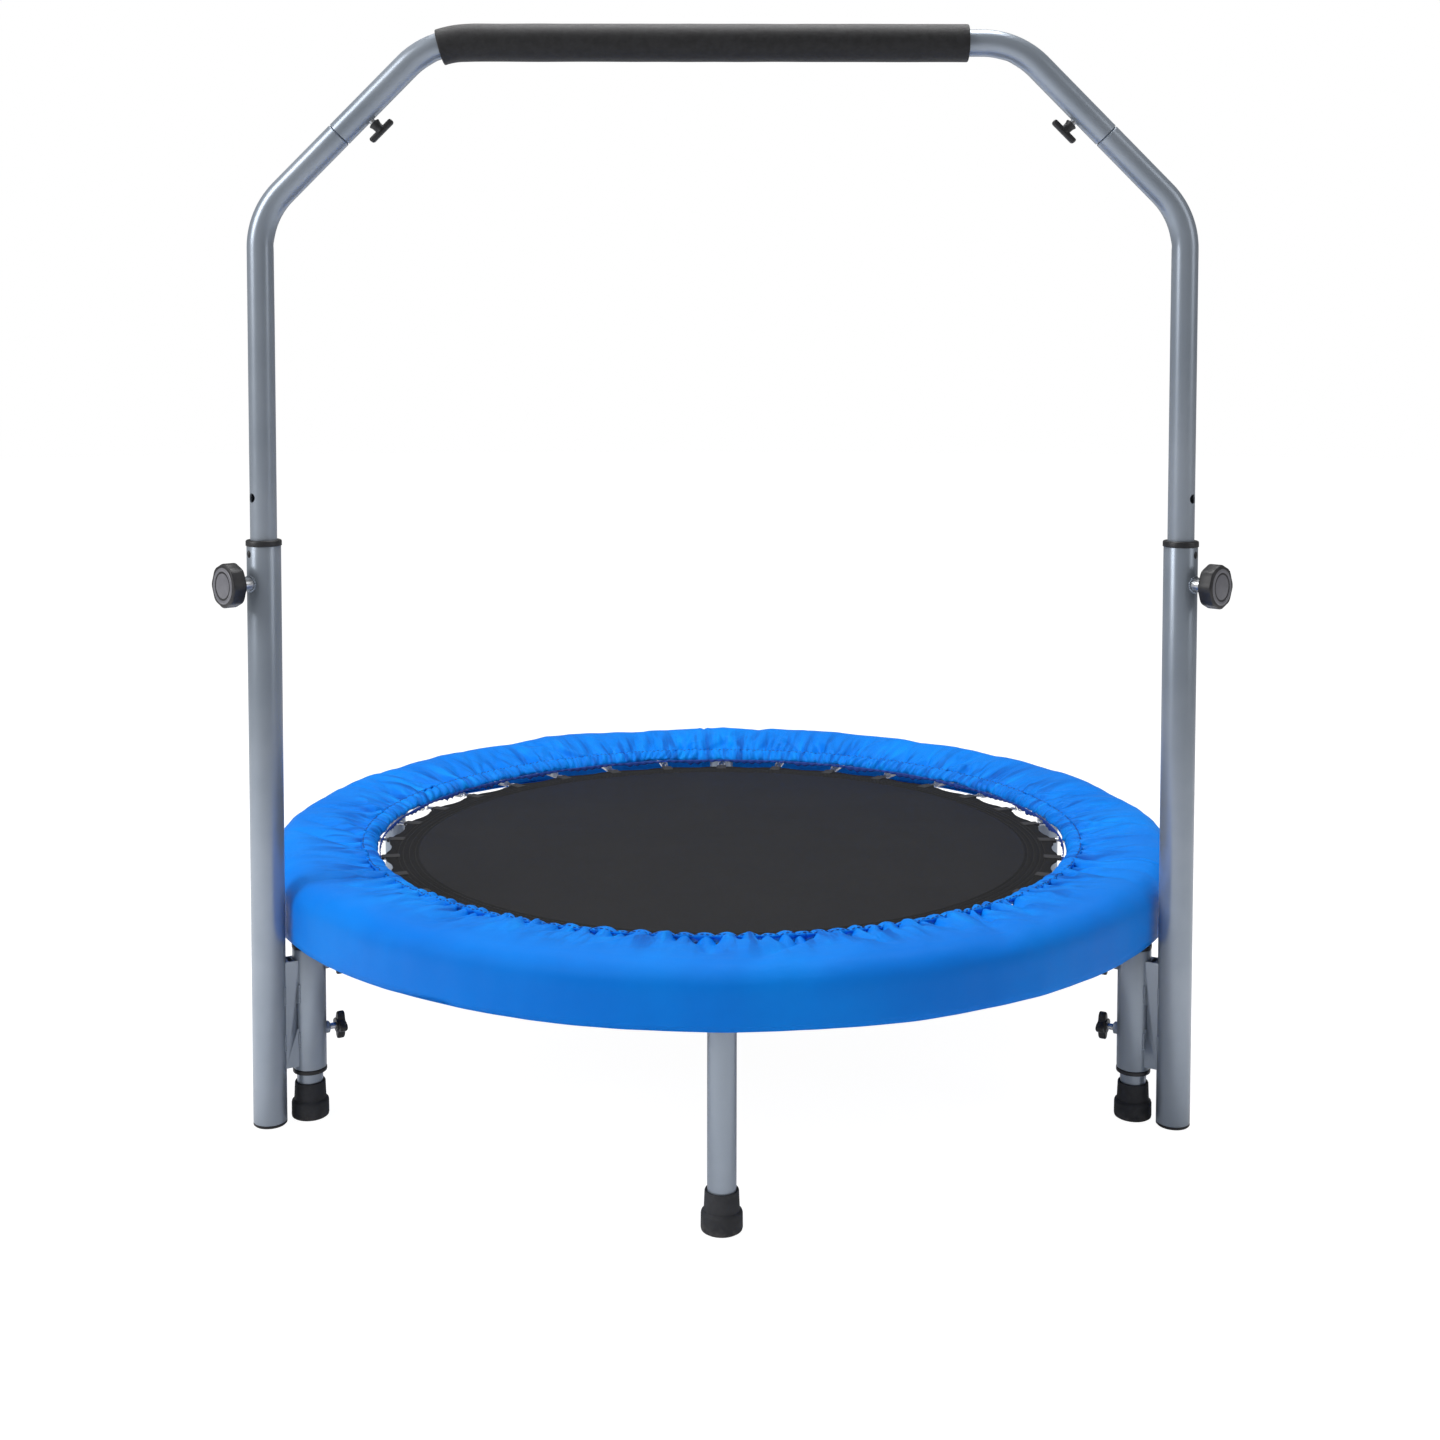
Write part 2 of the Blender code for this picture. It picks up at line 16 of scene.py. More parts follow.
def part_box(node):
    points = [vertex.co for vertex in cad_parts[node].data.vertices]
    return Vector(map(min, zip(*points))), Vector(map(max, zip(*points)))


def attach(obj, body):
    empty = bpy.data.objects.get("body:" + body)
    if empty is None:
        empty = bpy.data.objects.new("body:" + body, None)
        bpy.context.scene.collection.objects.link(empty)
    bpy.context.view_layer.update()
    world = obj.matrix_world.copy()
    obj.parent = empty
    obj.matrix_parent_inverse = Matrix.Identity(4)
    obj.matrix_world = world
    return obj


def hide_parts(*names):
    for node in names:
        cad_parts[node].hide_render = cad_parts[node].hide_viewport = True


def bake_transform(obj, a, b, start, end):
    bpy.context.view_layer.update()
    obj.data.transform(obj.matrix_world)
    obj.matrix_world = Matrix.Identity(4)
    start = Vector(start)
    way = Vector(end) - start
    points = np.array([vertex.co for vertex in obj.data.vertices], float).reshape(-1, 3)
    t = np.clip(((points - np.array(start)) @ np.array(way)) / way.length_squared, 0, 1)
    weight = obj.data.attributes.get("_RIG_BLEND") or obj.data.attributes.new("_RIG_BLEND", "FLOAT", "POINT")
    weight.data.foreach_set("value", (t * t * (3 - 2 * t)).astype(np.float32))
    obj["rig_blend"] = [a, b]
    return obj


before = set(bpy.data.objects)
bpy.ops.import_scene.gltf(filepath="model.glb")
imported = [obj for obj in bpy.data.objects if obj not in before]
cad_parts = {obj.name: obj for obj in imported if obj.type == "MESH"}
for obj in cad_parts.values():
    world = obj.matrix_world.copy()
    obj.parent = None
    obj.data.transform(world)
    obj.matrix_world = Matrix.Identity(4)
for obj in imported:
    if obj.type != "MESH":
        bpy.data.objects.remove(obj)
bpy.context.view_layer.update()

SIDES = {"left": -1, "right": 1}
UP = Vector((0, 0, 1))
ACROSS = Vector((0, 1, 0))  # the axis that the handlebar's tubes are bent about
TINY = 1e-6

# Tubes
LEG_COUNT = 6
BAR_R = 0.0125  # uprights and top bar
BAR_WALL = 0.0015
BEND_R = 0.075
JOINT_X = 0.360  # where the uprights enter the top bar's ends
TOP_HALF = 0.2747  # half the distance between the top bar's corners
SWAGE_LENGTH = 0.005
NECK_R = 0.0106
NECK_LENGTH = 0.050
CREASE_DEPTH, CREASE_SPREAD = 0.0011, 0.0045  # the dent on the inner side of a bend
POST_R = 0.016
HOLE_R = 0.0045
HOLE_PITCH = 0.081
HOLE_STEPS = (-2, -1, 0, 1)  # height holes, counted from the pin
PIN_Z = 0.525
BUTTON_Z = 0.553

# Knobs and screws, measured outwards from the axis of the tube they stand on
PIN_R = 0.0035
PIN_TIP = 0.0130
BOSS_R = 0.007
BOSS_END = 0.0285
HEIGHT_KNOB = (0.0300, 0.0445)
HEIGHT_KNOB_R = 0.021
TEE_TIP = 0.0112
TEE_HUB = (0.0155, 0.0235)
TEE_BAR = (0.009, 0.028, 0.0056)
TEE_FROM_END = 0.030
STUD_R = 0.003
STAR_TIP = 0.0128
STAR_KNOB = (0.0260, 0.0345)
STAR_R = 0.0135
STAR_HEIGHTS = {"lower": 0.084, "upper": 0.148}
NUT_R = 0.006
NUT_END = 0.0195
CHAMFER = 0.0006  # at the tip of a stud
BRACKET_HALF = 0.0098  # to the middle of a weld
WELD_SPANS = ((0.072, 0.089), (0.117, 0.135))
BEAD_PITCH = 0.0016

# Mat and springs
MAT_SEAMS = (0.3325, 0.3390, 0.3455, 0.3505)
MAT_BORDER_R = 0.328
MAT_EDGE_R = 0.3602  # before the edge is drawn out at the tabs
TAB_COUNT = 32
VALLEY_R = 0.3590
SPRING_WIRE_R = 0.0007
HOOP_R = 0.0012
SPRING_TURNS = 22
COIL_R = 0.0045
COIL_START, COIL_END = 0.381, 0.4365
INNER_EYE, OUTER_EYE = 0.3768, 0.4440  # where the springs' hooks hold

# Cover
COVER_STEPS = 1080
COVER_SHELL = 0.0012
CREST_IN, SHOULDER_DROP = 0.033, 0.034  # the shoulder's width and height
HEM_STEPS = 1440
HEM_R, HEM_Z = 0.3806, 0.2226
HEM_HALF, HEM_RISE = 0.0093, 0.0046
HEM_TILT = math.radians(29)
LINING_R, LINING_TOP = 0.3704, 0.2186
FRONT_SAG = 0.0105  # how much lower the cover's crest is at the front than at the back
SEAM_ANGLES = (math.radians(-22), math.radians(93))
# The folds: how far each may slant, and the ranges of its length, height and width
LONG_FOLD = (0.9, (0.050, 0.110), (-0.0095, -0.0055), (0.0034, 0.0056))
SHORT_FOLD = (0.5, (0.018, 0.046), (-0.0062, -0.0034), (0.0026, 0.0042))
RIDGE = (1.1, (0.045, 0.115), (0.0020, 0.0044), (0.0032, 0.0058))
LONG_SHARE = 0.42
RIDGE_COUNT = 110
LINING_POINTS = 230


def centre_of(node):
    low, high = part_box(node)
    return (low + high) / 2


def ground_point(node):
    """The point under a node's middle, on the floor."""
    middle = centre_of(node)
    return Vector((middle.x, middle.y, 0))


def tube_radius(node):
    low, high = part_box(node)
    return (high.x - low.x) / 2


def facing(direction, at=(0, 0, 0)):
    """The matrix that turns +Z to a direction and moves the origin."""
    turn = Vector(direction).to_track_quat("Z", "Y").to_matrix().to_4x4()
    return Matrix.Translation(at) @ turn


# ---------------------------------------------------------------- mesh work


def soften(shape, width, segments=2, over=30):
    """Rounds the edges that turn by more than an angle."""
    limit = math.radians(over)
    sharp = [e for e in shape.edges if len(e.link_faces) == 2 and e.calc_face_angle() > limit]
    bmesh.ops.bevel(
        shape,
        geom=sharp,
        offset=width,
        offset_type="OFFSET",
        segments=segments,
        profile=0.5,
        affect="EDGES",
        clamp_overlap=True,
        material=-1,
    )
    return shape


def repeated(shape, count):
    """Copies a shape evenly round Z, in blocks that double, until there are count of it."""
    step = math.tau / count
    block = bpy.data.meshes.new("block")
    shape.to_mesh(block)
    shape.clear()
    placed, size = 0, 1
    while size <= count:
        if count & size:
            copy = block.copy()
            copy.transform(Matrix.Rotation(placed * step, 4, "Z"))
            shape.from_mesh(copy)
            bpy.data.meshes.remove(copy)
            placed += size
        pair = bmesh.new()
        pair.from_mesh(block)
        block.transform(Matrix.Rotation(size * step, 4, "Z"))
        pair.from_mesh(block)
        pair.to_mesh(block)
        pair.free()
        size *= 2
    bpy.data.meshes.remove(block)
    return shape


def turn_fully(shape, steps, sectors=8):
    """Spins what is in a shape through one sector, and repeats that all the way round Z."""
    sweep = math.tau / sectors
    geom = shape.verts[:] + shape.edges[:]
    bmesh.ops.spin(shape, geom=geom, cent=(0, 0, 0), axis=UP, angle=sweep, steps=steps // sectors)
    repeated(shape, sectors)
    bmesh.ops.remove_doubles(shape, verts=shape.verts, dist=TINY * 5)
    bmesh.ops.recalc_face_normals(shape, faces=shape.faces)
    return shape


def spun(profile, steps=48, closed=False, rounding=0.0):
    """A turned solid about Z from (radius, height) points."""
    shape = bmesh.new()
    points = [shape.verts.new((radius, 0, height)) for radius, height in profile]
    after = points[1:] + points[:1] if closed else points[1:]
    for pair in zip(points, after):
        shape.edges.new(pair)
    bmesh.ops.spin(
        shape,
        geom=shape.verts[:] + shape.edges[:],
        cent=(0, 0, 0),
        axis=UP,
        angle=math.tau,
        steps=steps,
        use_merge=True,
    )
    bmesh.ops.remove_doubles(shape, verts=shape.verts, dist=TINY)
    bmesh.ops.recalc_face_normals(shape, faces=shape.faces)
    return soften(shape, rounding) if rounding else shape


def swept(radius, at, way, moves, sides=40, bend=BEND_R, axis=ACROSS):
    """A tube's skin: a ring that is run straight, swung round a bend or necked in."""
    shape = bmesh.new()
    at, way = Vector(at), Vector(way).normalized()
    bmesh.ops.create_circle(shape, segments=sides, radius=radius, matrix=facing(way, at))
    ring = shape.verts[:] + shape.edges[:]
    for kind, amount, steps in moves:
        if kind == "swing":
            centre = at + axis.cross(way) * math.copysign(bend, amount)
            about = {"cent": centre, "axis": axis, "angle": amount}
            grown = bmesh.ops.spin(shape, geom=ring, steps=steps, **about)
            turn = Matrix.Rotation(amount, 3, axis)
            at = centre + turn @ (at - centre)
            way = turn @ way
        else:
            along = {"cent": at, "axis": way, "dvec": way * amount / steps, "angle": 0}
            grown = bmesh.ops.spin(shape, geom=ring, steps=steps, **along)
            at = at + way * amount
        ring = [item for item in grown["geom_last"] if not isinstance(item, bmesh.types.BMFace)]
        if kind == "neck":
            rim = [item for item in ring if isinstance(item, bmesh.types.BMVert)]
            narrow = (NECK_R / BAR_R,) * 3
            bmesh.ops.scale(shape, vec=narrow, verts=rim, space=Matrix.Translation(-at))
    bmesh.ops.recalc_face_normals(shape, faces=shape.faces)
    return shape


def add(shape, other, matrix=None):
    """Puts another shape into this one, at its place."""
    carrier = bpy.data.meshes.new("carrier")
    other.to_mesh(carrier)
    other.free()
    if matrix:
        carrier.transform(matrix)
    shape.from_mesh(carrier)
    bpy.data.meshes.remove(carrier)
    return shape


def rounded_box(size, rounding, segments=3):
    shape = bmesh.new()
    bmesh.ops.create_cube(shape, size=1)
    bmesh.ops.scale(shape, vec=size, verts=shape.verts)
    return soften(shape, rounding, segments)


def lobed(radius, lobes, depth, low, high, rounding, sides=96):
    """A knob's body: a disc whose rim goes in between its lobes."""
    shape = bmesh.new()
    bmesh.ops.create_circle(shape, cap_ends=True, segments=sides, radius=radius)
    for vert in shape.verts:
        angle = math.atan2(vert.co.y, vert.co.x)
        vert.co *= 1 - depth * (1 - math.cos(lobes * angle)) / 2
    grown = bmesh.ops.extrude_face_region(shape, geom=shape.faces[:])
    top = [item for item in grown["geom"] if isinstance(item, bmesh.types.BMVert)]
    bmesh.ops.translate(shape, vec=(0, 0, high - low), verts=top)
    bmesh.ops.translate(shape, vec=(0, 0, low), verts=shape.verts)
    bmesh.ops.recalc_face_normals(shape, faces=shape.faces)
    return soften(shape, rounding, 3, 50)


def pointed_rod(radius, root, tip, chamfer=CHAMFER, steps=24):
    """A pin or stud about Z, from its root inside a knob to its chamfered tip."""
    profile = [(0, root), (radius, root), (radius, tip + chamfer), (radius - chamfer, tip), (0, tip)]
    return spun(profile, steps)


def beads(points, radius, seed):
    """A weld: a row of small overlapping drops."""
    dice = random.Random(seed)
    shape = bmesh.new()
    for point in points:
        size = radius * dice.uniform(0.85, 1.15)
        bmesh.ops.create_uvsphere(
            shape,
            u_segments=10,
            v_segments=6,
            radius=size,
            matrix=Matrix.Translation(point),
        )
    return shape


def piece(name, shape, finish, body, stands_for=(), matrix=None, sharp=40):
    """Makes a shape a finished piece, in its place, that moves with a body."""
    if matrix:
        bmesh.ops.transform(shape, matrix=matrix, verts=shape.verts)
    mesh = bpy.data.meshes.new(name)
    shape.to_mesh(mesh)
    shape.free()
    mesh.shade_smooth()
    mesh.set_sharp_from_angle(angle=math.radians(sharp))
    mesh.materials.append(finish)
    made = bpy.data.objects.new(name, mesh)
    bpy.context.scene.collection.objects.link(made)
    if body:
        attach(made, body)
    if stands_for:
        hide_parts(*stands_for)
    return made


def settle(made, sharp=40):
    """Applies a piece's modifiers to its mesh."""
    seen = made.evaluated_get(bpy.context.evaluated_depsgraph_get())
    mesh = bpy.data.meshes.new_from_object(seen)
    made.modifiers.clear()
    made.data = mesh
    mesh.shade_smooth()
    mesh.set_sharp_from_angle(angle=math.radians(sharp))
    return made


def give_wall(made, thickness):
    wall = made.modifiers.new("wall", "SOLIDIFY")
    wall.thickness = thickness
    wall.offset = -1
    wall.use_even_offset = True


def drill(made, holes, radius, near, far):
    """Cuts round holes, each given by a point and a direction."""
    bits = bmesh.new()
    for at, way in holes:
        middle = Vector(at) + Vector(way) * (near + far) / 2
        bmesh.ops.create_cone(
            bits,
            cap_ends=True,
            segments=32,
            radius1=radius,
            radius2=radius,
            depth=far - near,
            matrix=facing(way, middle),
        )
    mesh = bpy.data.meshes.new("bits")
    bits.to_mesh(mesh)
    bits.free()
    cutter = bpy.data.objects.new("bits", mesh)
    bpy.context.scene.collection.objects.link(cutter)
    cut = made.modifiers.new("holes", "BOOLEAN")
    cut.solver = "EXACT"
    cut.object = cutter
    bpy.context.view_layer.update()
    settle(made)
    bpy.data.objects.remove(cutter)


# ---------------------------------------------------------------- finishes


class Amount:
    """A number that varies over a surface, for use in formulas."""

    def __init__(self, finish, socket):
        self.finish = finish
        self.socket = socket

    def work(self, operation, *values):
        return self.finish.node("ShaderNodeMath", {"operation": operation}, dict(enumerate(values)))

    def __add__(self, other):
        return self.work("ADD", self, other)

    def __sub__(self, other):
        return self.work("SUBTRACT", self, other)

    def __rsub__(self, other):
        return self.work("SUBTRACT", other, self)

    def __mul__(self, other):
        return self.work("MULTIPLY", self, other)

    def __truediv__(self, other):
        return self.work("DIVIDE", self, other)

    def __pow__(self, other):
        return self.work("POWER", self, other)

    def __lt__(self, other):
        return self.work("LESS_THAN", self, other)

    def __abs__(self):
        return self.work("ABSOLUTE", self)

    __radd__ = __add__
    __rmul__ = __mul__

    def whole(self):
        return self.work("FLOOR", self)

    def part(self):
        return self.work("FRACT", self)


class Finish:
    """A material, built from nodes."""

    def __init__(self, name):
        self.material = bpy.data.materials.new(name)
        self.material.use_nodes = True
        self.tree = self.material.node_tree
        self.shader = self.tree.nodes["Principled BSDF"]

    def node(self, kind, settings=None, inputs=None, out=0):
        """Adds a node of any kind and gives one of its outputs."""
        made = self.tree.nodes.new(kind)
        for key, value in (settings or {}).items():
            setattr(made, key, value)
        self.feed(made, inputs or {})
        return Amount(self, made.outputs[out])

    def feed(self, node, inputs):
        for key, value in inputs.items():
            if isinstance(value, Amount):
                self.tree.links.new(value.socket, node.inputs[key])
            else:
                node.inputs[key].default_value = value

    def surface(self, **inputs):
        self.feed(self.shader, {key.replace("_", " "): value for key, value in inputs.items()})
        return self.material

    def place(self, stretch=(1, 1, 1)):
        """Where a point is on the piece, in metres, stretched along each axis."""
        at = self.node("ShaderNodeTexCoord", out="Object")
        return self.node("ShaderNodeMapping", None, {"Vector": at, "Scale": stretch})

    def cloud(self, scale, detail=3, roughness=0.55, place=None):
        inputs = {"Scale": scale, "Detail": detail, "Roughness": roughness}
        inputs["Vector"] = place or self.place()
        return self.node("ShaderNodeTexNoise", {"noise_dimensions": "3D"}, inputs)

    def ramp(self, value, low, high):
        """0 up to low, 1 from high."""
        ends = {"From Min": low, "From Max": high, "Value": value}
        return self.node("ShaderNodeMapRange", {"interpolation_type": "SMOOTHSTEP"}, ends)

    def mixed(self, share, low, high):
        """A colour between two."""
        ends = {0: share, 6: colour(low), 7: colour(high)}
        return self.node("ShaderNodeMix", {"data_type": "RGBA"}, ends, out=2)

    def bumps(self, height, strength, distance):
        inputs = {"Height": height, "Strength": strength, "Distance": distance}
        return self.node("ShaderNodeBump", None, inputs)


def colour(value):
    return value if isinstance(value, Amount) else (*value, 1)


def paint_finish(name, dark, light):
    """Satin powder coat: a fine orange peel, faint clouding and a few rubbed streaks."""
    finish = Finish(name)
    clouding = finish.cloud(9, 4)
    streaks = finish.ramp(finish.cloud(160, 2, 0.6, finish.place((1, 1, 0.06))), 0.62, 0.78)
    peel = finish.cloud(850, 2)
    fleck = finish.ramp(finish.cloud(2600, 1), 0.60, 0.75)
    base = finish.mixed(finish.ramp(clouding, 0.35, 0.7), dark, light)
    base = finish.mixed(fleck * 0.15, base, tuple(1.35 * c for c in light))
    return finish.surface(
        Base_Color=base,
        Metallic=0.45,
        Roughness=0.27 + clouding * 0.09 + streaks * 0.10,
        Normal=finish.bumps(peel + streaks * 0.5, 0.045, 0.0004),
    )


def zinc_finish():
    """Bright zinc plate, slightly brushed."""
    finish = Finish("zinc_plate")
    brushed = finish.cloud(500, 2, 0.6, finish.place((1, 1, 6)))
    stain = finish.cloud(60, 3)
    stained = finish.ramp(stain, 0.3, 0.75)
    return finish.surface(
        Base_Color=finish.mixed(stained, (0.50, 0.51, 0.53), (0.72, 0.73, 0.75)),
        Metallic=1.0,
        Roughness=0.22 + stain * 0.16,
        Normal=finish.bumps(brushed, 0.15, 0.0002),
    )


def plastic_finish(name, dark, light, roughness):
    """Moulded plastic with a spark-eroded skin."""
    finish = Finish(name)
    grain = finish.cloud(1500, 3, 0.6)
    rubbed = finish.cloud(70, 3)
    return finish.surface(
        Base_Color=finish.mixed(finish.ramp(rubbed, 0.3, 0.75), dark, light),
        Roughness=roughness + rubbed * 0.14,
        Normal=finish.bumps(grain, 0.22, 0.0003),
    )


def rubber_finish():
    """Matt moulded rubber, dustier near the floor."""
    finish = Finish("black_rubber_skin")
    cloudy = finish.cloud(120, 4)
    height = finish.node("ShaderNodeSeparateXYZ", None, {0: finish.place()}, out="Z")
    dust = (1 - finish.ramp(height, 0.001, 0.012)) * finish.ramp(cloudy, 0.35, 0.65)
    clouded = finish.ramp(cloudy, 0.3, 0.75)
    base = finish.mixed(clouded, (0.022, 0.023, 0.027), (0.036, 0.037, 0.043))
    return finish.surface(
        Base_Color=finish.mixed(dust * 0.35, base, (0.13, 0.12, 0.11)),
        Roughness=0.62 + cloudy * 0.16,
        Normal=finish.bumps(finish.cloud(1100, 3), 0.28, 0.0004),
    )


def foam_finish():
    """Closed-cell foam with a smooth skin and fine pores."""
    finish = Finish("black_foam_skin")
    cells = {"Vector": finish.place(), "Scale": 900}
    pores = finish.node("ShaderNodeTexVoronoi", {"feature": "DISTANCE_TO_EDGE"}, cells)
    soft = finish.cloud(150, 4)
    height = finish.ramp(pores, 0.0, 0.25) * 0.6 + soft
    clouded = finish.ramp(soft, 0.3, 0.7)
    return finish.surface(
        Base_Color=finish.mixed(clouded, (0.009, 0.009, 0.010), (0.017, 0.017, 0.019)),
        Roughness=0.50 + soft * 0.2,
        Specular_IOR_Level=0.35,
        Sheen_Weight=0.12,
        Sheen_Roughness=0.5,
        Normal=finish.bumps(height, 0.35, 0.0006),
    )


def mat_finish():
    """Woven plastic strips in a twill: each strip goes over two and under two."""
    finish = Finish("mat_twill")
    strip = 0.0011
    apart = finish.node("ShaderNodeSeparateXYZ", None, {0: finish.place((1 / strip,) * 3)})
    down = Amount(finish, apart.socket.node.outputs["Y"])
    over = ((apart.whole() + down.whole()) / 4).part() < 0.5
    warp = 1 - abs(apart.part() - 0.5) ** 2 * 4
    weft = 1 - abs(down.part() - 0.5) ** 2 * 4
    height = over * warp + (1 - over) * weft * 0.8
    worn = finish.cloud(14, 4)
    # Painted highlight and painted shade: the strips' raised crowns are coloured lighter, most on the strips
    # that lie over, and the dips between them darker.
    painted_crown_highlight = height * (0.55 + over * 0.45)
    tone = finish.mixed(painted_crown_highlight, (0.003, 0.003, 0.0034), (0.014, 0.014, 0.0155))
    tone = finish.mixed(finish.ramp(worn, 0.35, 0.8) * 0.25, tone, (0.020, 0.020, 0.0215))
    east = finish.node("ShaderNodeSeparateXYZ", None, {0: finish.place()})
    north = Amount(finish, east.socket.node.outputs["Y"])
    border = finish.ramp(east * east + north * north, MAT_BORDER_R**2, (MAT_BORDER_R + 0.002) ** 2)
    return finish.surface(
        Base_Color=finish.mixed(border * 0.65, tone, (0.004, 0.004, 0.0045)),
        Roughness=0.47 + worn * 0.12 + border * 0.18,
        Specular_IOR_Level=0.22,
        Normal=finish.bumps(height, 0.55, 0.0005),
    )


def thread_finish(name, dark, light):
    """Twisted thread or webbing."""
    finish = Finish(name)
    twist = finish.cloud(1400, 2)
    return finish.surface(
        Base_Color=finish.mixed(finish.ramp(twist, 0.3, 0.7), dark, light),
        Roughness=0.70 + twist * 0.1,
        Normal=finish.bumps(twist, 0.5, 0.0004),
    )


def cover_finish():
    """Coated nylon in a fine plain weave, with folds bumped in near the elastic; their dark and light is
    painted shade and painted highlight.
    """
    finish = Finish("blue_coated_cloth")
    thread = 0.0006
    cloth = finish.node("ShaderNodeUVMap", {"uv_map": "cloth"})
    scaled = finish.node("ShaderNodeMapping", None, {"Vector": cloth, "Scale": (1 / thread,) * 3})
    around = finish.node("ShaderNodeSeparateXYZ", None, {0: scaled})
    along = Amount(finish, around.socket.node.outputs["Y"])
    over = ((around.whole() + along.whole()) / 2).part() < 0.25
    warp = 1 - abs(around.part() - 0.5) ** 2 * 4
    weft = 1 - abs(along.part() - 0.5) ** 2 * 4
    weave = over * warp + (1 - over) * weft
    creases = finish.cloud(34, 5, 0.62)
    patches = finish.ramp(finish.cloud(7, 4), 0.3, 0.75)
    base = finish.mixed(patches, (0.0, 0.175, 0.75), (0.0, 0.230, 0.86))
    # Painted highlight: the raised crowns of the weave's threads are coloured lighter.
    base = finish.mixed(weave * 0.08, base, (0.0, 0.36, 1.0))
    run = finish.node("ShaderNodeSeparateXYZ", None, {0: cloth})
    run = Amount(finish, run.socket.node.outputs["Y"])
    drawn = finish.node("ShaderNodeMapping", None, {"Vector": cloth, "Scale": (95, 11, 1)})
    ripple = finish.cloud(1.0, 3, 0.5, drawn)
    near = 1 - finish.ramp(run, 0.010, 0.085)
    # Painted shade: near the elastic the fold valleys are coloured a darker blue.
    painted_fold_shade = (1 - finish.ramp(ripple, 0.34, 0.50)) * near
    base = finish.mixed(painted_fold_shade * 0.80, base, (0.0, 0.075, 0.42))
    # Painted highlight: near the elastic the fold ridges are coloured a lighter blue.
    base = finish.mixed(finish.ramp(ripple, 0.54, 0.68) * near * 0.40, base, (0.0, 0.36, 1.0))
    return finish.surface(
        Base_Color=base,
        Roughness=0.42 + patches * 0.08,
        Specular_IOR_Level=0.20,
        Specular_Tint=(0.45, 0.75, 1.0, 1),
        Normal=finish.bumps(weave * 0.07 + creases * 0.5 + ripple * near * 2.2, 0.80, 0.0018),
    )


def make_finishes():
    black = ((0.013, 0.013, 0.015), (0.024, 0.024, 0.027))
    return {
        "paint": paint_finish("grey_powder_coat", (0.300, 0.345, 0.405), (0.355, 0.400, 0.462)),
        "zinc": zinc_finish(),
        "plastic": plastic_finish("black_moulding", *black, 0.36),
        "cap": plastic_finish("grey_knob_cap", (0.145, 0.145, 0.165), (0.185, 0.185, 0.205), 0.30),
        "rubber": rubber_finish(),
        "foam": foam_finish(),
        "mat": mat_finish(),
        "webbing": thread_finish("black_webbing", (0.010, 0.010, 0.011), (0.030, 0.030, 0.033)),
        "cover": cover_finish(),
        # The lining's dark blue is painted shade for the cloth that hangs under the hem.
        "lining": thread_finish("blue_lining_painted_shade", (0.0, 0.022, 0.20), (0.0, 0.050, 0.34)),
        # The hem thread's dark blue is partly the thread's own colour and partly painted shade for the
        # crease along the stitch line.
        "stitching": thread_finish("blue_thread_painted_crease_shade", (0.0, 0.020, 0.14), (0.0, 0.050, 0.30)),
    }


# ---------------------------------------------------------------- frame


def make_rail(finishes):
    low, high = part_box("frame_rail")
    tube = (high.z - low.z) / 2
    middle = (high.z + low.z) / 2
    shape = bmesh.new()
    bmesh.ops.create_circle(
        shape,
        segments=24,
        radius=tube,
        matrix=facing(ACROSS, (high.x - tube, 0, middle)),
    )
    turn_fully(shape, 144)
    piece("rail_tube", shape, finishes["paint"], "base", ["frame_rail"])


def make_legs(finishes):
    rail_low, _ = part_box("frame_rail")
    for number in range(1, LEG_COUNT + 1):
        low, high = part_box(f"leg_{number}")
        radius = tube_radius(f"leg_{number}")
        at = Matrix.Translation(ground_point(f"leg_{number}"))
        skin = spun([(0, high.z), (radius, high.z), (radius, low.z), (0, low.z)], 40)
        name = f"leg_tube_{number}"
        piece(name, skin, finishes["paint"], "base", [f"leg_{number}"], at)

        low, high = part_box(f"leg_socket_{number}")
        outer = tube_radius(f"leg_socket_{number}")
        ring = [(outer, high.z), (outer, low.z), (radius, low.z), (radius, high.z)]
        stub = spun(ring, 40, True, 0.0006)
        seat = []
        for i in range(26):
            angle = math.tau * i / 26
            height = rail_low.z + 0.0035 * (1 - math.cos(2 * angle))
            seat.append(Vector((outer * math.cos(angle), outer * math.sin(angle), height)))
        add(stub, beads(seat, 0.0018, number))
        name = f"leg_stub_{number}"
        piece(name, stub, finishes["paint"], "base", [f"leg_socket_{number}"], at)
        make_foot(number, radius, at, finishes)


def make_foot(number, leg_radius, at, finishes):
    """A tapered rubber ferrule with a wide base band and a ribbed tread."""
    low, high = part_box(f"foot_{number}")
    outer = tube_radius(f"foot_{number}")
    band = low.z + 0.0145
    profile = [
        (0, low.z + 0.0010),
        (0.0060, low.z + 0.0010),
        (0.0064, low.z),
        (0.0100, low.z),
        (0.0104, low.z + 0.0010),
        (0.0118, low.z + 0.0010),
        (0.0122, low.z),
        (outer - 0.0016, low.z),
        (outer - 0.0004, low.z + 0.0008),
        (outer, low.z + 0.0025),
        (outer - 0.0001, band),
        (outer - 0.0006, band + 0.0016),
        (outer - 0.0026, band + 0.0032),
        (leg_radius + 0.0022, high.z - 0.0012),
        (leg_radius + 0.0017, high.z - 0.0002),
        (leg_radius + 0.0009, high.z),
        (leg_radius + 0.0002, high.z - 0.0010),
        (leg_radius - 0.0002, high.z - 0.0060),
    ]
    name = f"foot_ferrule_{number}"
    node = f"foot_{number}"
    piece(name, spun(profile, 56), finishes["rubber"], "base", [node], at)


# ---------------------------------------------------------------- handlebar


def dent(shape, spot, inner):
    """Pushes a small crease into a bend's inner side."""
    for vert in shape.verts:
        away = vert.co - spot
        along = away - inner * away.dot(inner)
        near = math.exp(-((along.length / CREASE_SPREAD) ** 2))
        facing_in = max(0.0, away.dot(inner) / BAR_R) ** 3
        vert.co -= inner * CREASE_DEPTH * near * facing_in


